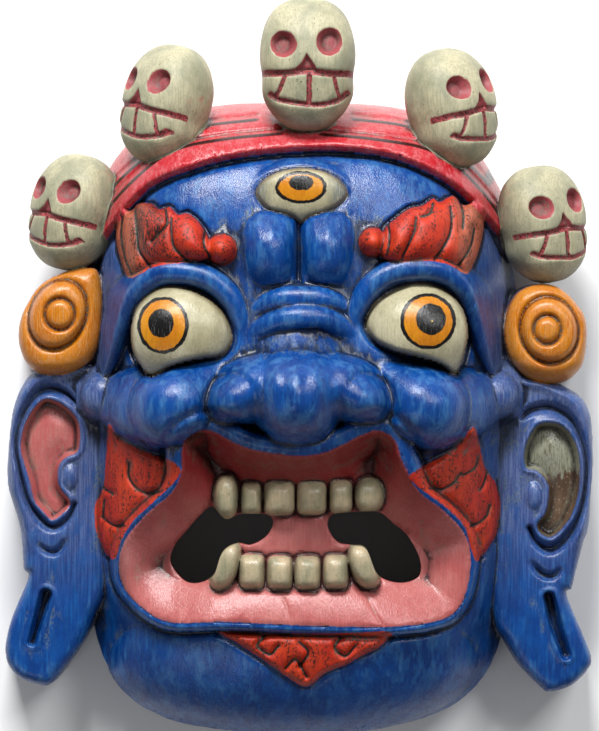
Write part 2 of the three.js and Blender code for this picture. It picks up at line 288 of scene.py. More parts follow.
BROW_KNOB = {-1: ((-44.3, 67.5), (9.2, 9.4)), 1: ((41.4, 71.5), (8.2, 9.0))}
MOUTH_OUTLINE = [(-66, -43), (-58, -36), (-50, -35), (-34, -43), (-20, -47), (-3, -49), (12, -48),
                 (24, -43), (34, -38), (45, -35), (54, -41), (58, -52), (67, -69), (82, -81), (94, -94),
                 (98, -107), (97, -122), (92, -136), (80, -144), (50, -147), (0, -146), (-43, -144),
                 (-73, -145), (-89, -138), (-101, -126), (-104, -112), (-99, -97), (-86, -82), (-73, -71),
                 (-67, -59)]
MOUTH_HOLE = {
    -1: [(-50, -79), (-42, -86), (-33, -83), (-19, -83.5), (-15, -88), (-19, -96), (-28, -101),
         (-36, -100), (-44, -105), (-49, -118), (-57, -123), (-66, -122), (-74, -112), (-72, -102),
         (-64, -92), (-57, -84)],
    1: [(16, -88), (20, -83), (33, -82), (45, -82), (54, -89), (62, -96), (69, -109), (69, -119),
        (61, -123), (51, -122), (44, -117), (38, -103), (30, -101), (23, -100), (18, -95)],
}
# middle x, middle y, half width, half height, height over the gum, squareness, lean
TEETH = [
    (-42, -73.5, 7.2, 13, 14, 2.5, 0), (-27.6, -74.5, 6.0, 9.4, 11, 4.5, 0),
    (-11.5, -74.2, 9.0, 9.8, 11.5, 4.5, 0),
    (7, -74, 8.6, 9.6, 11.5, 4.5, 0), (23.6, -73.3, 6.6, 9.6, 11, 4.5, 0), (40, -72.5, 8.6, 10.2, 13, 2.4, 0),
    (-42.5, -112.5, 8.2, 14.5, 14, 2.3, -14), (-27.2, -116, 7.4, 10, 11, 4.5, 0),
    (-11.2, -116.5, 7.5, 9.8, 11, 4.5, 0),
    (4.6, -116.5, 7.6, 9.8, 11, 4.5, 0), (20.8, -116, 7.4, 9.9, 11, 4.5, 0),
    (37, -112.5, 8.6, 13.5, 14, 2.3, 14),
]
WHISKER_OUTLINE = {
    -1: [(-110, -32), (-103, -40), (-89, -47), (-70, -54), (-69, -62), (-82, -75), (-94, -86),
         (-102, -98), (-106, -109), (-112, -108), (-118, -95), (-119, -80), (-114, -69), (-112, -52)],
    1: [(99, -33), (104, -45), (107, -57), (114, -67), (117, -80), (115, -94), (110, -103),
        (102, -111), (98, -102), (94, -90), (82, -78), (66, -66), (63, -60), (79, -51), (91, -43)],
}
WHISKER_CUTS = [
    [(-97.8, -54.8), (-97.8, -61.7), (-93.7, -68.2), (-86.8, -71.2), (-79, -70), (-71.5, -66.5)],
    [(-113, -87), (-107, -90.5), (-100, -90)], [(-114, -69), (-107.7, -72.4)], [(-113, -76), (-114, -86)],
    [(73.3, -68.2), (81, -68.8), (88, -65.3), (92, -60)], [(103.2, -50), (100.8, -57), (94, -61)],
    [(108.5, -59.4), (106.1, -66.5), (103.8, -70)],
    [(96.2, -91), (103.2, -88.7), (107.9, -85.1), (109.6, -79.3)],
]
GOATEE_OUTLINE = [(-46, -150), (-20, -151), (20, -151), (52, -150), (46, -159), (36, -164), (27, -169),
                  (15, -174), (4, -182), (-9, -175), (-17, -169), (-26, -163), (-35, -157)]
GOATEE_CUTS = [[(-20, -153), (-24, -158), (-17, -163), (-12, -158)], [(0, -156), (5, -162), (0, -170)],
               [(24, -153), (20, -159), (26, -164), (32, -158)], [(-8, -171), (-2, -166), (4, -176)]]
BAND_EDGE = [(-140, 20), (-128, 45), (-119, 62), (-110, 77), (-86, 103), (-57, 115), (-31, 121), (0, 124),
             (28, 124), (57, 119), (86, 105), (110, 83), (121, 68), (128, 50), (140, 22)]
BAND_CUTS = [
    [(-120, 82), (-100, 104), (-74, 124), (-44, 131), (-10, 134.5)],
    [(12, 134), (44, 131), (78, 124), (104, 104), (123, 80)],
    [(-117, 96), (-96, 116), (-64, 137), (-24, 143.5)],
    [(30, 144), (68, 138), (96, 120), (119, 98)],
]
LIP_CRACKS = [[(-5.5, -146), (-6, -139), (-9, -131)], [(47, -146), (42, -137), (38, -129)]]


def head_blank(x, y):
    z = smooth_max(dome(x, y), cap(x, y, (0, -6, 50), (104, 70, 64)), 14.0)
    return smooth_max(z, cap(x, y, (-4, -172, 40), (108, 44, 48)), 30.0)


def cheeks(x, y, z):
    for s in (-1, 1):
        fold = roll(x, y, [(s * 30, -1, 97, 5), (s * 41, -3, 104, 9), (s * 53, -10, 107, 15),
                           (s * 68, -19, 105, 21), (s * 84, -21, 97, 20), (s * 99, -19, 82, 20),
                           (s * 113, -16, 62, 14)], 1.5)
        main = cap(x, y, (s * 71, -22, 99), (26, 23.5, 33), -s * 12, 2.3)
        z = smooth_max(z, fold, 4.0)
        z = smooth_max(z, main, 12.0)
        crease = spline([(s * 91, 0), (s * 95, -12), (s * 96, -26), (s * 91, -38)])
        distance, (along,) = nearest(x, y, crease)
        z = z - 2.5 * np.sin(np.pi * np.clip(along, 0, 1)) * bell(distance, 4.0)
    return z


def nose(x, y, z):
    bridge = roll(x, y, [(0, 34, 90, 19), (0, 18, 99, 23), (0, 4, 107, 26), (0, -8, 110, 28)], 1.2)
    z = smooth_max(z, bridge, 8.0)
    for s in (-1, 1):
        shoulder = cap(x, y, (s * 22, -10, 104), (28, 19, 38), -s * 14, 2.3)
        wing = cap(x, y, (s * 36 - 0.5, -18.5, 104), (17, 15, 37), s * 8, 2.4)
        z = smooth_max(z, shoulder, 12.0)
        z = smooth_max(z, wing, 12.0)
    bulb = cap(x, y, (-1, -16.5, 104), (26, 28, 51), 0, 2.5)
    z = smooth_max(z, bulb, 18.0)
    for s in (-1, 1):
        crease = spline([(s * 51, -32), (s * 53, -20), (s * 49, -9), (s * 42, -3.5), (s * 34, -3),
                         (s * 28, -8)])
        distance, (along,) = nearest(x, y, crease)
        z = z - 4.5 * np.sin(np.pi * np.clip(along, 0.03, 0.97)) ** 0.6 * bell(distance, 2.2)
        nostril = ellipse_distance(x, y, (s * 29, -36), (10, 4.5), s * 25)
        z = z - 9.0 * ease(3.0, -3.0, nostril)
    facets = 0.8 * (np.cos((x + 2) * 0.52) - 1.0) * bell(y + 8, 20) * (np.abs(x) < 21)
    return z + facets


def frown(x, y, z):
    for s in (-1, 1):
        bulge = cap(x, y, (s * 16 - 0.5, 66, 92), (17.2, 23.5, 30), 0, 2.7)
        z = smooth_max(z, bulge, 3.0 + 13.0 * ease(66, 88, y))
        flute = 0.5 * (np.cos((x - s * 16) * 0.75) - 1.0) * bell(y - 80, 10) * (np.abs(x - s * 16) < 12)
        z = z + flute
    z = z - 6.5 * bell(np.abs(x + 0.5), 2.0) * ease(42, 50, y) * ease(92, 80, y)
    upper = roll(x, y, [(-33, 25, 101, 3), (-25, 33, 106, 5.5), (-12, 38.5, 111, 7), (1, 39.5, 112, 7.5),
                        (15, 38.5, 111, 7), (27, 33, 106, 5.5), (33, 24, 101, 3)])
    lower = roll(x, y, [(-36, 12, 103, 3), (-25, 20, 109, 6), (-12, 26.5, 115, 7), (1, 28.5, 117, 7.5),
                        (15, 27.5, 115, 7), (28, 20, 109, 6), (41, 11, 102, 3)])
    return smooth_max(smooth_max(z, upper, 1.0), lower, 1.0)


def third_eye(x, y, z, marks):
    edge = edge_distance(x, y, THIRD_EYE_OUTLINE)
    z = smooth_max(z, cap(x, y, (1, 99, 92), (31, 21, 15)), 5.0)
    ball = cap(x, y, (1, 100, 98), (28, 19, 12.5))
    z = np.where(edge < 0, np.maximum(z - 1.2, ball), z) - 1.6 * bell(edge, 1.3)
    marks["third_eye"] = edge
    return z


def brows(x, y, z, marks):
    brow = np.full(x.shape, CLEAR)
    cut = np.full(x.shape, CLEAR)
    for s in (-1, 1):
        edge = edge_distance(x, y, BROW_OUTLINE[s])
        lock = np.where(edge < 1, line_distance(x, y, BROW_CUTS[s]), CLEAR)
        pillow = 13.0 * quarter_round(-edge, 14)
        swell = 5.0 * quarter_round(lock, 7)
        z = np.where(edge < 0, z + pillow + swell - 1.0, z) - 2.2 * bell(edge - 0.5, 1.5)
        cut = np.minimum(cut, lock)
        middle, radii = BROW_KNOB[s]
        z = smooth_max(z, cap(x, y, middle + (102,), radii + (19,)), 1.0)
        brow = np.minimum(brow, np.minimum(edge, ellipse_distance(x, y, middle, radii)))
    marks["brow"] = brow
    marks["hair_cut"] = cut
    return z


def eyes(x, y, z, marks):
    white = np.full(x.shape, CLEAR)
    for s in (-1, 1):
        edge = edge_distance(x, y, EYE_OUTLINE[s])
        ball = cap(x, y, (s * 67, 20, 98), (32, 29.5, 27), -s * 8)
        z = np.where(edge < 0, np.maximum(ball, np.minimum(z, ball + 1.0)), z)
        z = z - 4.5 * bell(edge - 0.6, 1.8)
        z = smooth_max(z, roll(x, y, LID[s]), 1.5)
        white = np.minimum(white, edge)
    marks["eye"] = white
    return z


def whiskers(x, y, z, marks):
    hair = edge_distance(x, y, GOATEE_OUTLINE)
    for s in (-1, 1):
        hair = np.minimum(hair, edge_distance(x, y, WHISKER_OUTLINE[s]))
    z = z + 4.5 * ease(0.8, -3.5, hair) - 1.5 * bell(hair - 1.2, 1.4)
    for line in WHISKER_CUTS + GOATEE_CUTS:
        distance, _ = nearest(x, y, spline(line))
        distance = np.where(hair < 0, distance, CLEAR)
        z = z - 2.6 * bell(distance, 1.8)
        marks["hair_cut"] = np.minimum(marks["hair_cut"], distance)
    marks["hair"] = hair
    return z


def gum_height(x):
    return 93.0 - 14.0 * np.clip(np.abs(x) / 72.0, 0, 1.3) ** 2


def mouth(x, y, z, marks):
    depth = -edge_distance(x, y, MOUTH_OUTLINE)
    top = ease(-75, -50, y)
    rim = dome(x, y) + 8.0 + 2.0 * top
    run = 24.0 - 8.0 * top
    slope = rim + (gum_height(x) - rim) * np.clip(depth / run, 0, 1) ** 0.9
    width = 5.5 + 4.0 * top
    across = np.clip((depth + width * 0.45) / (width * 0.55), -1, 1)
    lip = rim - 5.0 + 5.5 * np.sqrt(1 - across**2)
    z = z - 2.5 * bell(depth + width + 1.0, 2.4)
    z = np.where((depth < 0) & (depth > -width), np.maximum(z, lip), z)
    z = np.where(depth > 0, np.minimum(slope, rim + 0.5), z)
    for line in LIP_CRACKS:
        distance, _ = nearest(x, y, spline(line))
        z = z - 0.8 * bell(distance, 0.7)
    marks["mouth"] = -depth
    return z


def teeth(x, y, z, marks):
    tooth = np.full(x.shape, CLEAR)
    for cx, cy, half_width, half_height, tall, square, lean in TEETH:
        tilt = math.tan(math.radians(lean))
        u = np.abs(x - cx + tilt * (y - cy)) / half_width
        v = np.abs(y - cy) / half_height
        reach = (u**square + v**square) ** (1.0 / square)
        body = gum_height(x) + tall * np.clip(1.0 - reach**3.2, 0, None) ** 0.5
        z = np.where(reach < 1, np.maximum(z, body), z)
        edge = (reach - 1.0) * min(half_width, half_height)
        z = z - 1.4 * bell(edge - 0.6, 0.9)
        tooth = np.minimum(tooth, edge)
    marks["tooth"] = tooth
    return z


def crown_band(x, y, z, marks):
    reach, _, _ = reach_of(x, y)
    inward = np.minimum(1.0, 0.97 / reach)
    px, py = x * inward, MIDDLE_Y + (y - MIDDLE_Y) * inward
    edge = spline(BAND_EDGE)
    distance, _ = nearest(px, py, edge, False, 90.0)
    above = py > np.interp(px, edge[:, 0], edge[:, 1])
    band = np.where(above, distance, -distance)
    top = dome(x, y) + 7.5 * ease(-0.9, 0.9, band)
    cut = line_distance(px, py, BAND_CUTS)
    top = top - 2.6 * bell(cut, 1.5)
    z = z - 3.5 * bell(band + 2.0, 2.0)
    marks["band"] = -band
    marks["band_cut"] = np.where(band > 0, cut, CLEAR)
    return np.where(band > -0.9, np.maximum(z, top), z)


def face_height(x, y):
    """Height of the carved face over the back rim, and the marks that the painter follows."""
    marks = {}
    z = head_blank(x, y)
    z = cheeks(x, y, z)
    z = nose(x, y, z)
    z = frown(x, y, z)
    z = third_eye(x, y, z, marks)
    z = brows(x, y, z, marks)
    z = eyes(x, y, z, marks)
    z = whiskers(x, y, z, marks)
    z = mouth(x, y, z, marks)
    z = teeth(x, y, z, marks)
    z = crown_band(x, y, z, marks)
    return z, marks


# ------------------------------------------------------------------ skulls, ears and discs
# middle, size, yaw, lean
SKULLS = [
    ((4.5, 174, 86), 1.0, 0, 0),
    ((-77, 152, 72), 0.92, -46, -15),
    ((88, 150, 72), 0.92, 46, 14),
    ((-132, 91, 50), 0.9, -40, -14),
    ((142, 84, 50), 0.9, 30, 10),
]
SKULL_HALF = (27.6, 38.0, 25.5)
SOCKETS = (((-13.6, 10), (7.4, 7.8), 35), ((12.4, 11.4), (7.4, 8.2), -10))
SKULL_NOSE = [(-1, 4), (0.5, 3.4), (5, -5.4), (-7, -5.4), (-3, -0.5)]
SKULL_CUTS = [
    ([(-30, -5.5), (-14, -6.6), (0, -5.6), (14, -6.8), (30, -6)], 1.9),
    ([(-21, -18), (-15, -21.6), (1, -24.2), (10, -23.8), (18, -21.2), (23, -17)], 1.5),
    ([(-13, -8), (-15, -14), (-18, -20)], 1.2),
    ([(1, -8), (1, -16), (1, -23)], 1.5),
    ([(15, -8), (16.5, -14), (18, -20)], 1.1),
]


def skull_turn(yaw, lean):
    return Matrix.Rotation(math.radians(lean), 3, "Z") @ Matrix.Rotation(math.radians(yaw), 3, "Y")


def skull_marks(x, y):
    """Distance to the sockets, to the nose and to the cuts of the mouth, on the front of a skull."""
    socket = np.full(x.shape, CLEAR)
    for middle, radii, turn in SOCKETS:
        socket = np.minimum(socket, ellipse_distance(x, y, middle, radii, turn))
    hole = edge_distance(x, y, SKULL_NOSE, 3)
    cut = np.full(x.shape, CLEAR)
    for line, width in SKULL_CUTS:
        distance, _ = nearest(x, y, spline(line))
        cut = np.minimum(cut, distance - width)
    return socket, hole, cut


def skull_relief(x, y):
    socket, hole, cut = skull_marks(x, y)
    depth = 6.5 * ease(0.8, -4.0, socket) + 3.5 * ease(0.6, -2.0, hole) + 2.0 * bell(cut + 1.4, 1.3)
    upper_jaw = 1.2 * ease(-5.0, -8.0, y) * ease(-26.0, -20.0, y)
    return depth + upper_jaw


EAR_OUTLINE = {
    -1: [(-110, -2), (-140, 3), (-150, 0), (-157.6, -4.4), (-163.5, -13.7), (-167.7, -24.8), (-169.6, -39.9),
         (-170.4, -57.9), (-169.6, -69.6), (-165.9, -81.8), (-162.9, -93.4), (-161.7, -105.4),
         (-160.9, -116.7), (-158.2, -120), (-159.9, -126.6), (-164.7, -137.4), (-168.8, -148.1),
         (-171.5, -159.7), (-171.6, -166), (-169.7, -173.1), (-163.5, -180.1), (-150.5, -184.7),
         (-144.5, -183.6), (-138.7, -176.6), (-127, -160), (-120, -145), (-110, -120), (-108, -60)],
    1: [(110, -4), (136, -4), (146.9, -7), (157.9, -12), (165.3, -18.1), (169.6, -27.7), (171, -41.1),
        (171.5, -56), (170.5, -71.9), (168.6, -92.8), (165.3, -102.5), (161.6, -117.3), (159.1, -128.3),
        (156, -131), (160.2, -142.8), (165.3, -155.1), (170, -168.4), (168.6, -174.8), (159.1, -184.6),
        (145.7, -188.8), (140.8, -185.9), (129.8, -174.8), (121, -160), (112, -140), (108, -60)],
}
EAR_BOWL = {
    -1: [(-148.1, -18.1), (-157, -27), (-161.7, -40.1), (-161.1, -50.8), (-156.4, -67.4), (-154, -76.9),
         (-148.1, -84), (-143.3, -88.2), (-135, -81.7), (-133.8, -76.9), (-139.8, -68.6), (-140.4, -57.9),
         (-136.2, -52), (-128.5, -47.2), (-128.5, -31.8), (-136.2, -22.3)],
    1: [(140.8, -32.2), (150.6, -32.5), (157.9, -38.9), (162.2, -49.9), (162.8, -62.2), (161.6, -74.4),
        (157.9, -85.4), (151.8, -94), (145.7, -98.3), (139.6, -95.2), (138.4, -90.3), (143.2, -84.2),
        (145.1, -74.4), (144.5, -67.1), (138.4, -59.7), (131.6, -57.3), (131.6, -46.2), (135.9, -36.4)],
}
EAR_RIM_CUT = {
    -1: [(-130, -20, 1.5), (-137, -14, 2.2), (-147, -12, 2.8), (-156, -18, 2.8),
         (-162.5, -31, 2.2), (-165, -46, 1.6),
         (-162, -63, 1.4), (-158, -77, 1.8), (-150, -88, 2.4), (-143, -92, 2.4),
         (-135, -87, 2.2), (-131, -79, 1.5)],
    1: [(130, -28, 1.5), (136, -24, 2.4), (146, -23, 2.8), (157, -29, 2.6), (164, -41, 2.0), (167, -56, 1.8),
        (166, -72, 1.8), (162, -88, 2.0), (154, -100, 2.4), (146, -105, 2.6),
        (138, -101, 2.2), (134, -93, 1.6)],
}
TRAGUS = {-1: ((-133.5, -63), (6.5, 10)), 1: ((136.5, -74), (6.8, 11))}
LOBE_ARC = {
    -1: [(-153.5, -100.6), (-147, -106), (-141, -106), (-134.6, -98)],
    1: [(133, -110.5), (140, -118.6), (147, -120.8), (154, -115.6)],
}
LOBE_SLIT = {
    -1: [(-147.5, -131.5, 2.8), (-151, -143, 2.4), (-155.5, -159, 1.8)],
    1: [(145.1, -133.2, 2.8), (148.8, -147.8, 3.0), (155, -166.5, 2.2)],
}
EAR_FRONT, EAR_BACK = 54.0, 8.0
STEEPNESS = 45.0  # fall of the side walls of ears and discs for each millimetre outward
BELOW = -10.0  # where those walls stop, under the back rim


def ear_height(x, y, side):
    """Height of an ear, and the distance to its bowl."""
    edge = edge_distance(x, y, EAR_OUTLINE[side])
    z = EAR_FRONT - 7.0 + 8.0 * quarter_round(-edge, 7)
    bowl = edge_distance(x, y, EAR_BOWL[side])
    z = z - 7.5 * ease(0.8, -3.0, bowl) * (1.0 - 0.3 * ease(-4, -14, bowl))
    z = z + 1.5 * bell(bowl - 1.6, 1.6)
    gap, (width, _) = nearest(x, y, spline(EAR_RIM_CUT[side]))
    z = z - 7.0 * bell(gap, np.maximum(width, 1.0))
    z = z + 2.0 * bell(edge + 5.0, 3.0) * ease(-110, -95, y)
    middle, radii = TRAGUS[side]
    z = np.maximum(z, cap(x, y, middle + (EAR_FRONT - 4,), radii + (8,)))
    gap, (along,) = nearest(x, y, spline(LOBE_ARC[side]))
    z = z - 5.0 * np.sin(np.pi * np.clip(along, 0.02, 0.98)) * bell(gap, 2.0)
    gap, (width, _) = nearest(x, y, spline(LOBE_SLIT[side]))
    z = z - 9.0 * ease(1.2, -1.8, gap - width) + 1.0 * bell(gap - width - 2.0, 1.6)
    z = np.where(edge < 0, z, EAR_FRONT - 7.0 - STEEPNESS * edge)
    return np.maximum(z, BELOW), edge, bowl


DISC_OUTLINE = {
    -1: [(-117, 56), (-124, 58.5), (-131.3, 57.5), (-138.9, 55), (-145, 52.2), (-152.1, 46.8), (-157.9, 37.8),
         (-162, 28), (-163.3, 19), (-162, 11), (-158.5, 3), (-151, -3), (-140, -4), (-129, -1), (-120, 6),
         (-115.5, 18), (-114, 38)],
    1: [(119, 20), (121, 34), (127, 44), (136, 48.6), (146, 48.9), (154, 44.9), (161.2, 37.3), (165.9, 30.3),
        (167.4, 20.6), (165.8, 6), (162, -2), (154, -8), (142, -9), (130, -4), (122, 6)],
}
DISC_RINGS = {  # middle, radii of the outer ring, its turn, radius of the knob
    -1: ((-140.0, 31.3), (16.2, 20.6), -22, 8.6),
    1: ((144.6, 22.3), (16.8, 19.2), 14, 7.8),
}
DISC_FRONT, DISC_BACK = 66.0, 10.0


def disc_height(x, y, side):
    """Height of an ear disc, and the distances to its outer ring and its knob."""
    edge = edge_distance(x, y, DISC_OUTLINE[side], 8)
    middle, radii, turn, knob = DISC_RINGS[side]
    ring = ellipse_distance(x, y, middle, radii, turn)
    button = ellipse_distance(x, y, (middle[0] - side * 1.5, middle[1]), (knob, knob * 1.06))
    z = DISC_FRONT - 11.0 + 11.0 * quarter_round(-edge, 11) - 5.0 * ease(4, -14, y)
    swell = 5.0 * np.sqrt(1.0 - np.clip(1 + ring / 9, 0, 1) ** 2)
    z = z + np.where(ring < 0, swell, 0.0) - 2.4 * bell(ring, 1.7)
    z = z - 2.6 * bell(button, 1.5) + 1.5 * ease(0, -5, button)
    z = np.where(edge < 0, z, DISC_FRONT - 11.0 - STEEPNESS * edge)
    return np.maximum(z, BELOW), edge, ring, button


# ------------------------------------------------------------------ meshes
def read_places(mesh):
    places = np.empty(len(mesh.vertices) * 3, np.float32)
    mesh.vertices.foreach_get("co", places)
    return places.reshape(-1, 3).astype(float)


def read_normals(mesh):
    normals = np.empty(len(mesh.vertices) * 3, np.float32)
    mesh.vertices.foreach_get("normal", normals)
    return normals.reshape(-1, 3).astype(float)


def write_places(mesh, places):
    mesh.vertices.foreach_set("co", places.astype(np.float32).ravel())
    mesh.update()


def new_object(name, bm):
    mesh = bpy.data.meshes.new(name)
    bm.to_mesh(mesh)
    bm.free()
    piece = bpy.data.objects.new(name, mesh)
    bpy.context.scene.collection.objects.link(piece)
    return piece


def close_below(bm):
    """Gives an open sheet walls and a flat back, one unit below it."""
    border = [edge for edge in bm.edges if edge.is_boundary]
    pulled = bmesh.ops.extrude_edge_only(bm, edges=border)["geom"]
    corners = [item for item in pulled if isinstance(item, bmesh.types.BMVert)]
    bmesh.ops.translate(bm, vec=(0, 0, -1), verts=corners)
    rim = [item for item in pulled if isinstance(item, bmesh.types.BMEdge)]
    bmesh.ops.contextual_create(bm, geom=rim)
    bmesh.ops.recalc_face_normals(bm, faces=bm.faces)


def sheet_block(name, columns, rows):
    bm = bmesh.new()
    bmesh.ops.create_grid(bm, x_segments=columns, y_segments=rows, size=1.0)
    close_below(bm)
    return new_object(name, bm)


def roughen(mesh, amount, seed):
    """The shallow facets that the gouge leaves, along the vertical grain. In millimetres."""
    places, normals = read_places(mesh), read_normals(mesh)
    lift = 0.55 * unevenness(places, (7, 15, 9), seed) + 0.3 * unevenness(places, (3.2, 8, 4), seed + 1)
    lift += 0.9 * unevenness(places, (26, 34, 26), seed + 2)
    write_places(mesh, places + normals * (amount * lift)[:, None])


def join(target, others, operation):
    for other in others:
        step = target.modifiers.new("join", "BOOLEAN")
        step.operation = operation
        step.object = other
        step.solver = "MANIFOLD"
        depsgraph = bpy.context.evaluated_depsgraph_get()
        result = bpy.data.meshes.new_from_object(target.evaluated_get(depsgraph))
        target.modifiers.clear()
        if len(result.polygons) < 8:
            raise RuntimeError(f"{operation} with {other.name} left nothing")
        old, target.data = target.data, result
        bpy.data.meshes.remove(old)
        bpy.data.objects.remove(other)
    return target


def slab(name, top):
    """A bench that cuts everything below a height away."""
    bm = bmesh.new()
    bmesh.ops.create_cube(bm, size=1.0)
    bmesh.ops.scale(bm, vec=(500, 600, 60), verts=bm.verts)
    bmesh.ops.translate(bm, vec=(0, 0, top - 30), verts=bm.verts)
    return new_object(name, bm)


def square_to_outline(places):
    """Turns a square sheet into one with the outline of the head. Also tells how far out each point is."""
    s, t = places[:, 0], places[:, 1]
    r = np.maximum(np.maximum(np.abs(s), np.abs(t)), 1e-6)
    upper = t > 0
    square = np.where(upper, CROWN_SQUARE, CHIN_SQUARE)
    dx, dy = s / r, t / r
    shrink = np.maximum(np.abs(dx) ** square + np.abs(dy) ** square, 1e-6) ** (-1.0 / square)
    scale = 1.0 - (1.0 - np.minimum(shrink, 1.0)) * r**1.5
    half_height = np.where(upper, CROWN_Y - MIDDLE_Y, MIDDLE_Y - CHIN_Y)
    return dx * scale, dy * scale, r, upper, square, half_height


def spread_rings(r, upright, upper):
    """Evens out the spacing of the rings along the surface, from the middle of the face to its rim."""
    share = np.linspace(0.0, 1.0, 800)
    rings = []
    for power, length in ((ROUNDING[1], 130.0), (ROUNDING[0], 182.0), (ROUNDING[2], 183.0)):
        height = FACE_DEPTH * np.clip(1.0 - share**power, 0.0, None) ** (1.0 / ROUNDING_ROOT)
        steps = np.hypot(np.diff(share) * length, np.diff(height) * 0.8)
        along = np.concatenate([[0.0], np.cumsum(steps)])
        rings.append(np.interp(r, along / along[-1], share))
    side, crown, chin = rings
    return side + (np.where(upper, crown, chin) - side) * upright


def fineness(full):
    return full


def length_property(name, description, millimetres):
    return bpy.props.FloatProperty(
        name=name, description=description, default=millimetres * MILLIMETRE, min=0.0, precision=5,
        subtype="DISTANCE", unit="LENGTH")


class MaskSizes(bpy.types.PropertyGroup):
    face_cells: bpy.props.IntProperty(
        name="Face cells", description="Cells across the carved face", default=fineness(440), min=60)
    skull_steps: bpy.props.IntProperty(
        name="Skull steps", description="Times that the skull's facets are split", default=fineness(7),
        min=3, max=7)
    gouge: length_property("Gouge marks", "Height of the gouge marks", 0.42)
    wall: length_property("Wall", "Thickness of the wall at the back rim", 18.0)
    face_count: bpy.props.IntProperty(
        name="Facets", description="Facets left in the joined block", default=190000, min=20000)


def screen_colour(red, green, blue):
    """A colour as a painter's chart gives it, from 0 to 255, as the linear light that Blender mixes."""
    shares = [channel / 255.0 for channel in (red, green, blue)]
    return tuple(s / 12.92 if s <= 0.04045 else ((s + 0.055) / 1.055) ** 2.4 for s in shares)


def paint_property(name, description, chart):
    return bpy.props.FloatVectorProperty(
        name=name, description=description, subtype="COLOR", size=3, min=0.0, max=1.0,
        default=screen_colour(*chart))


class MaskColours(bpy.types.PropertyGroup):
    blue: paint_property("Blue", "Skin of the face and ears", (4, 66, 146))
    crimson: paint_property("Crimson", "Crown band", (212, 34, 48))
    orange: paint_property("Orange", "Brows, whiskers and beard", (220, 44, 10))
    pink: paint_property("Pink", "Lips and mouth", (214, 112, 110))
    rose: paint_property("Rose", "Bowl of the ear", (218, 116, 116))
    bone: paint_property("Bone", "Skulls", (228, 220, 182))
    ivory: paint_property("Ivory", "Teeth", (236, 214, 176))
    eye_white: paint_property("Eye white", "Whites of the eyes", (224, 216, 180))
    gold: paint_property("Gold", "Irises", (242, 160, 26))
    gilt: paint_property("Gilt", "Ear discs", (236, 146, 18))
    wood: paint_property("Wood", "Bare wood behind", (66, 46, 30))
    varnish: bpy.props.FloatProperty(
        name="Varnish", description="Share of light that old varnish lets back", default=0.5,
        min=0.1, max=1.0, subtype="FACTOR")


class MASK_OT_head(bpy.types.Operator):
    """Carve the head with its face and its crown band"""

    bl_idname = "mask.head"
    bl_label = "Carve the head"

    def execute(self, context):
        sizes = context.scene.mask_sizes
        piece = sheet_block("head", sizes.face_cells, sizes.face_cells)
        places = read_places(piece.data)
        below = places[:, 2] < -0.5
        u, v, r, upper, square, half_height = square_to_outline(places)
        length = (np.abs(u) ** square + np.abs(v) ** square) ** (1.0 / square)
        upright = (np.abs(v) / np.maximum(length, 1e-6)) ** square
        reach = spread_rings(np.minimum(r * length, 1.0), upright, upper)
        stretch = reach / np.maximum(length, 1e-6)
        x = u * stretch * HALF_WIDTH
        y = v * stretch * half_height + MIDDLE_Y
        z, marks = face_height(x, y)
        step = 0.5
        slope_x = (dome(x + step, y) - dome(x - step, y)) / (2 * step)
        slope_y = (dome(x, y + step) - dome(x, y - step)) / (2 * step)
        lean = np.hypot(slope_x, slope_y)
        outward = 3.4 * ease(-0.9, 0.9, -marks["band"]) * lean / np.sqrt(1 + lean**2)
        outward = np.where(reach > 0.6, outward, 0.0)
        away = np.hypot(x, y - MIDDLE_Y)
        x = x + outward * x / np.maximum(away, 1.0)
        y = y + outward * (y - MIDDLE_Y) / np.maximum(away, 1.0)
        z = np.where(below, -8.0, z)
        write_places(piece.data, np.stack([x, y, z], 1))
        roughen(piece.data, sizes.gouge / MILLIMETRE, 11)
        return {"FINISHED"}


class MASK_OT_skulls(bpy.types.Operator):
    """Carve the five skulls of the crown"""

    bl_idname = "mask.skulls"
    bl_label = "Carve the skulls"

    def execute(self, context):
        sizes = context.scene.mask_sizes
        for number, (middle, size, yaw, lean) in enumerate(SKULLS):
            bm = bmesh.new()
            bmesh.ops.create_icosphere(bm, subdivisions=sizes.skull_steps, radius=1.0)
            piece = new_object(f"skull_{number}", bm)
            way = read_places(piece.data)
            half = np.array(SKULL_HALF)
            square = np.array([2.7, 2.3, 2.3])
            reach = np.abs(way) ** square
            places = way * (reach.sum(1) ** (-1.0 / 2.4))[:, None] * half
            x, y, z = places.T
            x = x * (1.0 - 0.12 * ease(-16, -38, y)) * (1.0 - 0.05 * bell(y + 7, 7))
            front = ease(0.0, 7.0, z)
            z = z * (1.0 - 0.08 * ease(10, 38, y)) - front * skull_relief(x, y)
            write_places(piece.data, np.stack([x, y, z], 1))
            roughen(piece.data, 0.8 * sizes.gouge / MILLIMETRE, 31 + number)
            places = read_places(piece.data) * size
            turn = np.array(skull_turn(yaw, lean))
            write_places(piece.data, places @ turn.T + np.array(middle))
            root = self.root(middle, number)
            join(piece, [root], "UNION")
        return {"FINISHED"}

    def root(self, middle, number):
        """The stub of wood that runs from a skull down into the head."""
        bm = bmesh.new()
        bmesh.ops.create_uvsphere(bm, u_segments=64, v_segments=48, radius=1.0)
        bmesh.ops.scale(bm, vec=(16, 30, 22), verts=bm.verts)
        inward = Vector((-middle[0], 40 - middle[1], 0)).normalized()
        heading = inward.to_track_quat("Y", "Z").to_matrix().to_4x4()
        place = Matrix.Translation(Vector(middle) + inward * 22 + Vector((0, 0, -22)))
        bmesh.ops.transform(bm, matrix=place @ heading, verts=bm.verts)
        return new_object(f"skull_root_{number}", bm)


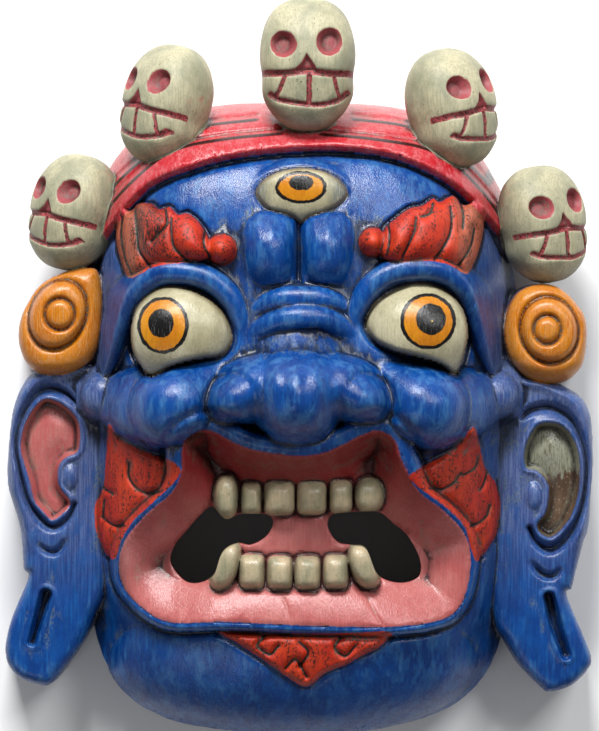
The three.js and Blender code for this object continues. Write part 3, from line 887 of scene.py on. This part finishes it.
class MASK_OT_ears(bpy.types.Operator):
    """Carve the two long ears and the discs over them"""

    bl_idname = "mask.ears"
    bl_label = "Carve the ears and discs"

    def execute(self, context):
        sizes = context.scene.mask_sizes
        cell = fineness(0.6)
        for side, word in ((-1, "left"), (1, "right")):
            for kind in ("ear", "disc"):
                outline = np.array(EAR_OUTLINE[side] if kind == "ear" else DISC_OUTLINE[side])
                low, high = outline.min(0) - 3, outline.max(0) + 3
                columns, rows = np.ceil((high - low) / cell).astype(int)
                piece = sheet_block(f"{kind}_{word}", int(columns), int(rows))
                places = read_places(piece.data)
                x = low[0] + (places[:, 0] + 1) / 2 * (high[0] - low[0])
                y = low[1] + (places[:, 1] + 1) / 2 * (high[1] - low[1])
                z = (ear_height if kind == "ear" else disc_height)(x, y, side)[0]
                z = np.where(places[:, 2] < -0.5, -20.0, z)
                write_places(piece.data, np.stack([x, y, z], 1))
                roughen(piece.data, sizes.gouge / MILLIMETRE, 51 + side)
                join(piece, [slab("bench", EAR_BACK if kind == "ear" else DISC_BACK)], "DIFFERENCE")
        return {"FINISHED"}


class MASK_OT_hollow(bpy.types.Operator):
    """Cut the hollow behind the face and the two holes of the mouth"""

    bl_idname = "mask.hollow"
    bl_label = "Cut the hollow"

    def execute(self, context):
        cells = fineness(240)
        wall = context.scene.mask_sizes.wall / MILLIMETRE
        piece = sheet_block("hollow", cells, cells)
        places = read_places(piece.data)
        below = places[:, 2] < -0.5
        u, v, r, _, _, half_height = square_to_outline(places)
        spread = 1.0 - (1.0 - r) ** 1.5
        x = u * spread * (HALF_WIDTH - wall)
        y = v * spread * (half_height - wall) + MIDDLE_Y
        z = np.where(below, -12.0, hollow_top(x, y, wall))
        write_places(piece.data, np.stack([x, y, z], 1))
        mesh = piece.data
        places, normals = read_places(mesh), read_normals(mesh)
        strokes = np.abs(unevenness(places, (11, 24, 11), 71)) * 2.2 + 0.5 * unevenness(places, (4, 9, 4), 72)
        strokes = np.where(places[:, 2] < 4, 0.0, strokes)
        write_places(mesh, places - normals * strokes[:, None])
        for side, outline in MOUTH_HOLE.items():
            edge = spline(outline, 8, True)
            bm = bmesh.new()
            corners = [bm.verts.new((x, y, 60.0)) for x, y in edge]
            face = bm.faces.new(corners)
            raised = bmesh.ops.extrude_face_region(bm, geom=[face])["geom"]
            top = [item for item in raised if isinstance(item, bmesh.types.BMVert)]
            bmesh.ops.translate(bm, vec=(0, 0, 60), verts=top)
            bmesh.ops.recalc_face_normals(bm, faces=bm.faces)
            new_object(f"mouth_hole_{side}", bm)
        return {"FINISHED"}


def iris_marks(x, y):
    """Distance to the black ring, the gold, the pupil and the light in it, for the nearest eye."""
    found = [np.full(len(x), CLEAR) for _ in range(4)]
    for ring, radii, middle, small, spot in (IRIS[-1], IRIS[1], THIRD_IRIS):
        inner = (radii[0] - 2.1, radii[1] - 1.9)
        shapes = ((ring, radii), (ring, inner), (middle, small), (spot, (1.3, 1.1)))
        found = [np.minimum(old, ellipse_distance(x, y, *shape)) for old, shape in zip(found, shapes)]
    return found


def block_marks(places, normals, sizes):
    """Every mark that the painter follows, at each point of the joined block, in millimetres."""
    wall = sizes.wall / MILLIMETRE
    x, y, z = places.T
    top, marks = face_height(x, y)
    reach, _, _ = reach_of(x, y)
    iris, gold, pupil, light = iris_marks(x, y)
    skull = np.full(len(x), CLEAR)
    socket, cut = skull.copy(), skull.copy()
    for middle, size, yaw, lean in SKULLS:
        turn = np.array(skull_turn(yaw, lean))
        own = (places - np.array(middle)) @ turn / size
        scaled = np.abs(own) / np.array(SKULL_HALF)
        distance = ((scaled**2.4).sum(1) ** (1 / 2.4) - 1.0) * 26.0
        near = distance < 6.0
        skull = np.minimum(skull, distance)
        a, b, c = skull_marks(own[near, 0], own[near, 1])
        front = np.where(own[near, 2] > 2.0, 0.0, CLEAR)
        socket[near] = np.minimum(socket[near], np.minimum(a, b) + front)
        cut[near] = np.minimum(cut[near], c + front)
    beyond = np.where((reach > 1.03) & (y > 62), -3.0, CLEAR)
    skull = np.minimum(skull, beyond)
    bowl, disc, ring, knob = (np.full(len(x), CLEAR) for _ in range(4))
    for side in (-1, 1):
        outside = np.where(reach > 0.97, 0.0, CLEAR) + np.where(x * side > 0, 0.0, CLEAR)
        _, _, own_bowl = ear_height(x, y, side)
        bowl = np.minimum(bowl, own_bowl + outside)
        height, edge, own_ring, own_knob = disc_height(x, y, side)
        covered = np.clip((top - height) * 0.5, -6.0, 6.0)
        disc = np.minimum(disc, np.maximum(edge, np.where(reach < 1.0, covered, -6.0)))
        ring = np.minimum(ring, np.abs(own_ring))
        knob = np.minimum(knob, np.abs(own_knob))
    hollow = hollow_top(x, y, wall)
    inner_reach, _, _ = reach_of(x, y, wall)
    behind = np.where(inner_reach < 1.03, z - hollow - 1.0, CLEAR)
    behind = np.where(normals[:, 2] < 0.35, behind, np.maximum(behind, 1.0))
    back = np.minimum(behind, z - 1.2)
    back = np.where((inner_reach < 1.0) & (z < 4), -5.0, back)
    below_ear = np.where((normals[:, 2] < -0.7) & (z < 12), -3.0, CLEAR)
    back = np.minimum(back, below_ear)
    found = {
        "eye_marks": (np.minimum(marks["eye"], CLEAR), marks["third_eye"], iris),
        "iris_marks": (gold, pupil, light),
        "hair_marks": (marks["brow"], marks["hair"], marks["hair_cut"]),
        "opening_marks": (marks["mouth"], marks["tooth"], bowl),
        "crown_marks": (marks["band"], marks["band_cut"], reach),
        "skull_marks": (skull, socket, cut),
        "disc_marks": (disc, ring, knob),
    }
    return found, back


def hollowness(mesh, places, normals):
    """How deep each point lies in a crease (above 0) or on an edge (below 0), at three scales."""
    edges = np.empty(len(mesh.edges) * 2, np.int32)
    mesh.edges.foreach_get("vertices", edges)
    a, b = edges[0::2], edges[1::2]
    count = np.maximum(np.bincount(np.concatenate([a, b]), minlength=len(places)), 1)
    smooth = places.copy()
    found = []
    for rounds in (3, 9, 30):
        for _ in range(rounds):
            total = np.stack([
                np.bincount(a, smooth[b, k], len(places)) + np.bincount(b, smooth[a, k], len(places))
                for k in range(3)
            ], 1)
            smooth = 0.5 * smooth + 0.5 * total / count[:, None]
        found.append(((smooth - places) * normals).sum(1))
    return found


def store(mesh, name, columns):
    attribute = mesh.attributes.new(name, "FLOAT_VECTOR", "POINT")
    values = np.clip(np.stack(columns, 1), -60.0, 250.0)
    attribute.data.foreach_set("vector", values.astype(np.float32).ravel())


class MASK_OT_block(bpy.types.Operator):
    """Join every carved form into the one block of wood that the mask is"""

    bl_idname = "mask.block"
    bl_label = "Join the block"

    def execute(self, context):
        pieces = bpy.data.objects
        block = pieces["head"]
        added = [piece for piece in pieces if piece.name.startswith(("skull_", "ear_", "disc_"))]
        join(block, added, "UNION")
        cutters = [piece for piece in pieces if piece.name.startswith(("hollow", "mouth_hole_"))]
        join(block, [slab("bench", 0.0)] + cutters, "DIFFERENCE")
        block.name = "mask_block"
        mesh = block.data
        mesh.name = "mask_block"
        mesh.calc_loop_triangles()
        found = len(mesh.loop_triangles)
        wanted = fineness(context.scene.mask_sizes.face_count)
        if found > wanted:
            thin = block.modifiers.new("thin", "DECIMATE")
            thin.ratio = wanted / found
            depsgraph = bpy.context.evaluated_depsgraph_get()
            block.data = bpy.data.meshes.new_from_object(block.evaluated_get(depsgraph))
            block.modifiers.clear()
            mesh = block.data
        mesh.materials.clear()
        mesh.shade_smooth()
        places, normals = read_places(mesh), read_normals(mesh)
        marks, back = block_marks(places, normals, context.scene.mask_sizes)
        _, crease, form = hollowness(mesh, places, normals)
        marks["wood_marks"] = (back, crease, form)
        for name, columns in marks.items():
            store(mesh, name, columns)
        write_places(mesh, places * MILLIMETRE)
        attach(block, "root")
        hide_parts("mask")
        return {"FINISHED"}


# ------------------------------------------------------------------ paint
class Brushwork:
    """Small tools for laying one coat of paint over another in a material's nodes."""

    def __init__(self, material):
        self.tree = material.node_tree
        self.tree.nodes.clear()
        coordinates = self.tree.nodes.new("ShaderNodeTexCoord")
        scaled = self.tree.nodes.new("ShaderNodeVectorMath")
        scaled.operation = "SCALE"
        scaled.inputs["Scale"].default_value = 1.0 / MILLIMETRE
        self.link(coordinates.outputs["Object"], scaled.inputs[0])
        self.places = scaled.outputs[0]
        self.split = {}

    def link(self, source, target):
        self.tree.links.new(source, target)

    def set(self, socket, value):
        if isinstance(value, bpy.types.NodeSocket):
            self.link(value, socket)
        elif isinstance(value, tuple):
            opaque = (1.0,) if len(value) == 3 and len(socket.default_value) == 4 else ()
            socket.default_value = value + opaque
        else:
            socket.default_value = value

    def mark(self, name, part):
        if name not in self.split:
            attribute = self.tree.nodes.new("ShaderNodeAttribute")
            attribute.attribute_name = name
            parts = self.tree.nodes.new("ShaderNodeSeparateXYZ")
            self.link(attribute.outputs["Vector"], parts.inputs[0])
            self.split[name] = parts.outputs
        return self.split[name][part]

    def place(self, axis):
        if "place" not in self.split:
            parts = self.tree.nodes.new("ShaderNodeSeparateXYZ")
            self.link(self.places, parts.inputs[0])
            self.split["place"] = parts.outputs
        return self.split["place"][axis]

    def math(self, operation, a, b=0.0, clamp=False):
        node = self.tree.nodes.new("ShaderNodeMath")
        node.operation = operation
        node.use_clamp = clamp
        self.set(node.inputs[0], a)
        self.set(node.inputs[1], b)
        return node.outputs[0]

    def part(self, share, amount):
        return self.math("MULTIPLY", share, amount)

    def ramp(self, value, low, high, smooth=True):
        """0 at low and 1 at high, which may be the smaller."""
        node = self.tree.nodes.new("ShaderNodeMapRange")
        node.interpolation_type = "SMOOTHSTEP" if smooth else "LINEAR"
        self.set(node.inputs["Value"], value)
        self.set(node.inputs["From Min"], low)
        self.set(node.inputs["From Max"], high)
        return node.outputs["Result"]

    def noise(self, size, detail=3.0, roughness=0.55, shift=0.0):
        """Noise whose grains have the given size in millimetres along each axis."""
        mapping = self.tree.nodes.new("ShaderNodeMapping")
        self.link(self.places, mapping.inputs["Vector"])
        mapping.inputs["Scale"].default_value = tuple(1.0 / s for s in size)
        mapping.inputs["Location"].default_value = (shift, shift * 0.7, shift * 1.3)
        node = self.tree.nodes.new("ShaderNodeTexNoise")
        node.inputs["Scale"].default_value = 1.0
        node.inputs["Detail"].default_value = detail
        node.inputs["Roughness"].default_value = roughness
        self.link(mapping.outputs[0], node.inputs["Vector"])
        return node.outputs["Fac"]

    def inside(self, distance, soft=0.35, grow=0.0):
        """1 within an edge and 0 outside it, with the slight unevenness of a brush."""
        return self.ramp(self.math("ADD", distance, self.wander), soft + grow, grow - soft)

    def lay(self, under, over, share):
        node = self.tree.nodes.new("ShaderNodeMix")
        node.data_type = "RGBA"
        self.set(node.inputs["Factor"], share)
        self.set(node.inputs["A"], under)
        self.set(node.inputs["B"], over)
        return node.outputs["Result"]

    def both(self, a, b):
        return self.math("MULTIPLY", a, b)

    def either(self, a, b):
        return self.math("MAXIMUM", a, b)


def paint_mask(material, colours):
    b = Brushwork(material)
    wave = b.noise((3.0, 5.0, 3.0), 3.0)
    b.wander = b.math("MULTIPLY", b.math("SUBTRACT", wave, 0.5), 1.6)
    grain = b.noise((1.0, 26.0, 1.0), 4.0, 0.6)
    fibre = b.noise((0.55, 9.0, 0.55), 3.0, 0.6, 7.0)
    specks = b.noise((1.1, 1.6, 1.1), 4.0, 0.65, 3.0)
    patches = b.noise((16.0, 24.0, 16.0), 4.0, 0.6, 5.0)
    worn = b.noise((5.0, 16.0, 5.0), 5.0, 0.65, 9.0)
    crease, form = b.mark("wood_marks", 1), b.mark("wood_marks", 2)
    x, y = b.place(0), b.place(1)

    streak = b.ramp(grain, 0.38, 0.66)
    speckled = b.ramp(specks, 0.56, 0.66)
    patchy = b.ramp(patches, 0.35, 0.65)
    cavity = b.either(b.ramp(crease, 0.2, 1.0), b.ramp(form, 0.9, 3.0))
    ridge = b.ramp(crease, -0.05, -0.5)

    # Blue skin, darker in its hollows where shade is painted further down, and with a painted sheen: paler
    # and more violet round the sides of the head.
    skin = b.lay(tuple(colours.blue), screen_colour(8, 84, 172), patchy)
    paler = b.both(b.part(streak, 0.6), b.ramp(worn, 0.4, 0.6))
    skin = b.lay(skin, screen_colour(24, 112, 192), paler)
    rubbed = b.both(b.part(ridge, 0.4), b.ramp(worn, 0.45, 0.65))
    skin = b.lay(skin, screen_colour(90, 150, 205), rubbed)
    reach = b.mark("crown_marks", 2)
    # Painted sheen: the sides of the head, which turn away, are laid in a paler, more violet blue.
    side_sheen = b.both(b.ramp(reach, 0.78, 0.93), b.ramp(y, -150.0, -60.0))
    pale = b.lay(screen_colour(84, 100, 158), screen_colour(120, 138, 182), streak)
    pale = b.lay(pale, screen_colour(60, 96, 165), b.ramp(worn, 0.45, 0.65))
    skin = b.lay(skin, pale, b.part(side_sheen, 0.85))

    # Mouth.
    mouth = b.inside(b.mark("opening_marks", 0), 0.4)
    lips = b.lay(tuple(colours.pink), screen_colour(226, 134, 130), patchy)
    # Painted shade: the upper part of the mouth, which faces down, is laid a darker red.
    lips = b.lay(lips, screen_colour(176, 58, 60), b.ramp(y, -98.0, -58.0))
    lips = b.lay(lips, screen_colour(120, 46, 44), b.part(speckled, 0.3))
    # Painted shade: the walls of the mouth holes are laid near black as they go deeper in.
    deep = b.ramp(b.place(2), 84.0, 72.0)
    lips = b.lay(lips, screen_colour(14, 6, 5), deep)
    colour = b.lay(skin, lips, mouth)

    # Teeth.
    tooth = b.inside(b.mark("opening_marks", 1), 0.3)
    ivory = b.lay(tuple(colours.ivory), screen_colour(176, 172, 140), patchy)
    ivory = b.lay(ivory, screen_colour(128, 116, 84), b.part(speckled, 0.55))
    colour = b.lay(colour, ivory, tooth)

    # Eyes.
    eye = b.either(b.inside(b.mark("eye_marks", 0), 0.3), b.inside(b.mark("eye_marks", 1), 0.4))
    white = b.lay(tuple(colours.eye_white), screen_colour(196, 188, 150), patchy)
    white = b.lay(white, screen_colour(150, 134, 96), b.part(speckled, 0.5))
    aside = b.ramp(b.math("ABSOLUTE", x), 13.0, 24.0)
    brushed = b.both(b.both(aside, b.ramp(y, 78.0, 84.0)), b.ramp(fibre, 0.3, 0.55))
    white = b.lay(white, screen_colour(96, 118, 132), b.part(brushed, 0.8))
    rim = b.math("MINIMUM", b.mark("eye_marks", 0), b.mark("eye_marks", 1))
    white = b.lay(white, screen_colour(120, 96, 60), b.math("MULTIPLY", b.ramp(rim, -3.0, 0.2), 0.8))
    black = screen_colour(16, 15, 16)
    ring = b.inside(b.mark("eye_marks", 2), 0.25)
    white = b.lay(white, black, ring)
    gold = b.lay(tuple(colours.gold), screen_colour(222, 136, 22), patchy)
    white = b.lay(white, gold, b.inside(b.mark("iris_marks", 0), 0.25))
    pupil = b.lay(black, screen_colour(120, 120, 116), b.both(b.ramp(fibre, 0.58, 0.66), 0.6))
    white = b.lay(white, pupil, b.inside(b.mark("iris_marks", 1), 0.25))
    white = b.lay(white, screen_colour(228, 190, 90), b.inside(b.mark("iris_marks", 2), 0.25))
    colour = b.lay(colour, white, eye)

    # Brows, whiskers and beard.
    hair = b.either(b.inside(b.mark("hair_marks", 0), 0.4), b.inside(b.mark("hair_marks", 1), 0.4))
    flame = b.lay(tuple(colours.orange), screen_colour(236, 66, 16), patchy)
    outer = b.both(b.ramp(b.math("ABSOLUTE", x), 84.0, 96.0), b.ramp(y, 40.0, 50.0))
    faded = b.lay(screen_colour(206, 128, 100), screen_colour(224, 110, 70), streak)
    flame = b.lay(flame, faded, b.part(outer, 0.8))
    sooty = b.both(b.ramp(specks, 0.47, 0.6), b.ramp(worn, 0.4, 0.56))
    flame = b.lay(flame, screen_colour(34, 14, 10), sooty)
    scorched = b.both(b.both(b.ramp(x, -70.0, -80.0), b.ramp(y, 60.0, 68.0)), b.ramp(fibre, 0.44, 0.54))
    flame = b.lay(flame, screen_colour(40, 18, 12), b.both(scorched, b.ramp(x, -98.0, -92.0)))
    flame = b.lay(flame, screen_colour(20, 10, 8), b.ramp(b.mark("hair_marks", 2), 1.2, 0.3))
    colour = b.lay(colour, flame, hair)

    # Crown band.
    band = b.inside(b.mark("crown_marks", 0), 0.4)
    red = b.lay(tuple(colours.crimson), screen_colour(220, 62, 72), patchy)
    red = b.lay(red, screen_colour(226, 120, 124), b.both(streak, b.ramp(worn, 0.4, 0.6)))
    red = b.lay(red, screen_colour(56, 12, 12), b.ramp(b.mark("crown_marks", 1), 1.4, 0.6))
    colour = b.lay(colour, red, band)

    # Bowls of the ears. The right one has lost its paint.
    bowl = b.inside(b.mark("opening_marks", 2), 0.4)
    rose = b.lay(tuple(colours.rose), screen_colour(222, 138, 132), patchy)
    rose = b.lay(rose, screen_colour(190, 78, 76), b.part(streak, 0.5))
    bare = b.lay(screen_colour(96, 74, 58), screen_colour(124, 100, 80), patchy)
    bare = b.lay(bare, screen_colour(190, 160, 140), b.ramp(specks, 0.62, 0.68))
    grey = b.lay(screen_colour(166, 166, 146), screen_colour(110, 106, 84), b.ramp(fibre, 0.48, 0.66))
    lost = b.math("ADD", y, b.math("MULTIPLY", b.math("SUBTRACT", worn, 0.5), 40.0))
    bare = b.lay(bare, grey, b.ramp(lost, -64.0, -60.0))
    rose = b.lay(rose, bare, b.ramp(x, -1.0, 1.0))
    colour = b.lay(colour, rose, bowl)

    # Discs.
    disc = b.inside(b.mark("disc_marks", 0), 0.4)
    amber = b.lay(tuple(colours.gilt), screen_colour(224, 124, 12), patchy)
    rubbed = b.both(b.ramp(fibre, 0.44, 0.6), b.ramp(crease, 0.1, -0.3))
    amber = b.lay(amber, screen_colour(236, 160, 84), rubbed)
    # Painted shade in the grooves round the ring and the knob: dark brown, broken up by specks.
    cut = b.either(b.ramp(b.mark("disc_marks", 1), 1.5, 0.4), b.ramp(b.mark("disc_marks", 2), 1.4, 0.5))
    amber = b.lay(amber, screen_colour(110, 50, 14), b.both(cut, b.ramp(specks, 0.36, 0.52)))
    colour = b.lay(colour, amber, disc)

    # Skulls.
    skull = b.inside(b.mark("skull_marks", 0), 0.4, 0.6)
    bone = b.lay(tuple(colours.bone), screen_colour(180, 180, 150), patchy)
    bone = b.lay(bone, screen_colour(150, 148, 118), b.part(streak, 0.6))
    bone = b.lay(bone, screen_colour(72, 58, 40), b.both(b.ramp(specks, 0.6, 0.68), b.ramp(worn, 0.4, 0.6)))
    pit = b.lay(screen_colour(186, 84, 90), screen_colour(140, 60, 62), speckled)
    bone = b.lay(bone, pit, b.inside(b.mark("skull_marks", 1), 0.3))
    grin = b.lay(screen_colour(196, 84, 88), screen_colour(70, 22, 20), b.ramp(specks, 0.44, 0.6))
    bone = b.lay(bone, grin, b.inside(b.mark("skull_marks", 2), 0.3))
    colour = b.lay(colour, bone, skull)

    # Dust along the creases, painted shade with some dirt in them, and bare wood behind.
    dust = b.both(b.ramp(crease, 0.02, 0.25), b.ramp(worn, 0.42, 0.58))
    dust = b.part(b.both(dust, b.ramp(specks, 0.4, 0.6)), 0.6)
    colour = b.lay(colour, screen_colour(134, 140, 120), dust)
    light = b.either(b.either(skull, eye), b.either(tooth, disc))
    # Painted shade with some dirt: near-black blue laid into the creases and hollows, weaker on the
    # pale-painted parts.
    crease_dirt_and_shade = b.both(cavity, b.ramp(specks, 0.2, 0.5))
    crease_dirt_and_shade = b.both(crease_dirt_and_shade, b.math("SUBTRACT", 0.85, b.part(light, 0.4)))
    colour = b.lay(colour, screen_colour(10, 12, 22), crease_dirt_and_shade)
    back = b.inside(b.mark("wood_marks", 0), 0.5)
    wood = b.lay(tuple(colours.wood), screen_colour(104, 78, 52), streak)
    wood = b.lay(wood, screen_colour(50, 36, 26), b.ramp(patches, 0.5, 0.75))
    colour = b.lay(colour, wood, back)

    # The grain shows through every coat, and old varnish deepens it.
    shade = b.math("ADD", b.part(grain, 0.7), b.part(specks, 0.6))
    shade = b.math("MULTIPLY", shade, b.math("SUBTRACT", 1.0, back))
    deepen = b.tree.nodes.new("ShaderNodeVectorMath")
    deepen.operation = "SCALE"
    b.link(colour, deepen.inputs[0])
    b.link(b.math("MULTIPLY", b.math("ADD", shade, 0.42), colours.varnish), deepen.inputs["Scale"])
    colour = deepen.outputs[0]

    shader = b.tree.nodes.new("ShaderNodeBsdfPrincipled")
    shader.inputs["Specular IOR Level"].default_value = 0.4
    output = b.tree.nodes.new("ShaderNodeOutputMaterial")
    b.link(shader.outputs[0], output.inputs["Surface"])
    b.link(colour, shader.inputs["Base Color"])
    dull = b.either(b.either(skull, hair), back)
    rough = b.math("ADD", 0.2, b.part(dull, 0.26))
    rough = b.math("ADD", rough, b.part(worn, 0.16))
    b.link(rough, shader.inputs["Roughness"])
    relief = b.math("ADD", b.part(grain, 0.5), b.part(fibre, 0.25))
    relief = b.math("ADD", relief, b.part(specks, 0.3))
    bump = b.tree.nodes.new("ShaderNodeBump")
    bump.inputs["Strength"].default_value = 0.6
    bump.inputs["Distance"].default_value = 0.7 * MILLIMETRE
    b.link(relief, bump.inputs["Height"])
    b.link(bump.outputs[0], shader.inputs["Normal"])


class MASK_OT_paint(bpy.types.Operator):
    """Paint the joined block"""

    bl_idname = "mask.paint"
    bl_label = "Paint the mask"

    def execute(self, context):
        material = bpy.data.materials.new("painted_wood")
        material.use_nodes = True
        paint_mask(material, context.scene.mask_colours)
        bpy.data.objects["mask_block"].data.materials.append(material)
        return {"FINISHED"}


# name, place and size in metres, power in watts
LAMPS = (
    ("key", (-0.25, 1.55, 1.2), (0.7, 0.4), 62.0),
    ("fill", (0.8, 0.9, 1.5), (0.6, 0.5), 16.0),
    ("front", (-0.9, -1.2, 1.6), (0.6, 0.4), 4.0),
)
FLOOR_HALF = 3.0
AMBIENT = 0.2
CAMERA_PLACE = (0.0, 0.0017, 2.2)
CAMERA_LENS, CAMERA_SENSOR = 181.7, 36.0


class MASK_OT_stage(bpy.types.Operator):
    """Lay out the floor, the studio lights and the camera"""

    bl_idname = "mask.stage"
    bl_label = "Set the stage"

    def execute(self, context):
        bm = bmesh.new()
        bmesh.ops.create_grid(bm, x_segments=1, y_segments=1, size=FLOOR_HALF)
        floor = new_object("floor", bm)
        pale = bpy.data.materials.new("pale_floor")
        pale.use_nodes = True
        shader = pale.node_tree.nodes["Principled BSDF"]
        shader.inputs["Base Color"].default_value = (0.92, 0.92, 0.92, 1.0)
        shader.inputs["Roughness"].default_value = 0.9
        floor.data.materials.append(pale)
        world = bpy.data.worlds.new("studio")
        context.scene.world = world
        world.use_nodes = True
        background = world.node_tree.nodes["Background"]
        background.inputs["Color"].default_value = (1.0, 1.0, 1.0, 1.0)
        background.inputs["Strength"].default_value = AMBIENT
        for lamp in LAMPS:
            self.lamp(*lamp)
        data = bpy.data.cameras.new("camera")
        data.sensor_width = CAMERA_SENSOR
        data.lens = CAMERA_LENS
        data.clip_end = 20.0
        camera = bpy.data.objects.new("camera", data)
        camera.location = CAMERA_PLACE
        context.scene.collection.objects.link(camera)
        context.scene.camera = camera
        context.scene.view_settings.view_transform = "Standard"
        return {"FINISHED"}

    def lamp(self, name, place, size, power):
        data = bpy.data.lights.new(name, "AREA")
        data.shape = "RECTANGLE"
        data.size, data.size_y = size
        data.energy = power
        lamp = bpy.data.objects.new(name, data)
        lamp.location = place
        lamp.rotation_euler = (Vector((0, 0, 0.05)) - Vector(place)).to_track_quat("-Z", "Y").to_euler()
        bpy.context.scene.collection.objects.link(lamp)


STEPS = (
    MASK_OT_head, MASK_OT_skulls, MASK_OT_ears, MASK_OT_hollow, MASK_OT_block, MASK_OT_paint,
    MASK_OT_stage,
)


class MASK_PT_panel(bpy.types.Panel):
    bl_idname = "MASK_PT_panel"
    bl_label = "Carved mask"
    bl_space_type = "VIEW_3D"
    bl_region_type = "UI"
    bl_category = "Mask"

    def draw(self, context):
        for group in (context.scene.mask_sizes, context.scene.mask_colours):
            box = self.layout.box()
            for name in group.bl_rna.properties.keys():
                if name not in ("rna_type", "name"):
                    box.prop(group, name)
        for step in STEPS:
            self.layout.operator(step.bl_idname)


CLASSES = (MaskSizes, MaskColours) + STEPS + (MASK_PT_panel,)


def register():
    for item in CLASSES:
        bpy.utils.register_class(item)
    bpy.types.Scene.mask_sizes = bpy.props.PointerProperty(type=MaskSizes)
    bpy.types.Scene.mask_colours = bpy.props.PointerProperty(type=MaskColours)


def unregister():
    del bpy.types.Scene.mask_colours
    del bpy.types.Scene.mask_sizes
    for item in reversed(CLASSES):
        bpy.utils.unregister_class(item)


def main():
    register()
    for step in STEPS:
        group, name = step.bl_idname.split(".")
        getattr(getattr(bpy.ops, group), name)()
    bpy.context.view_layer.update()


if __name__ == "__main__":
    main()
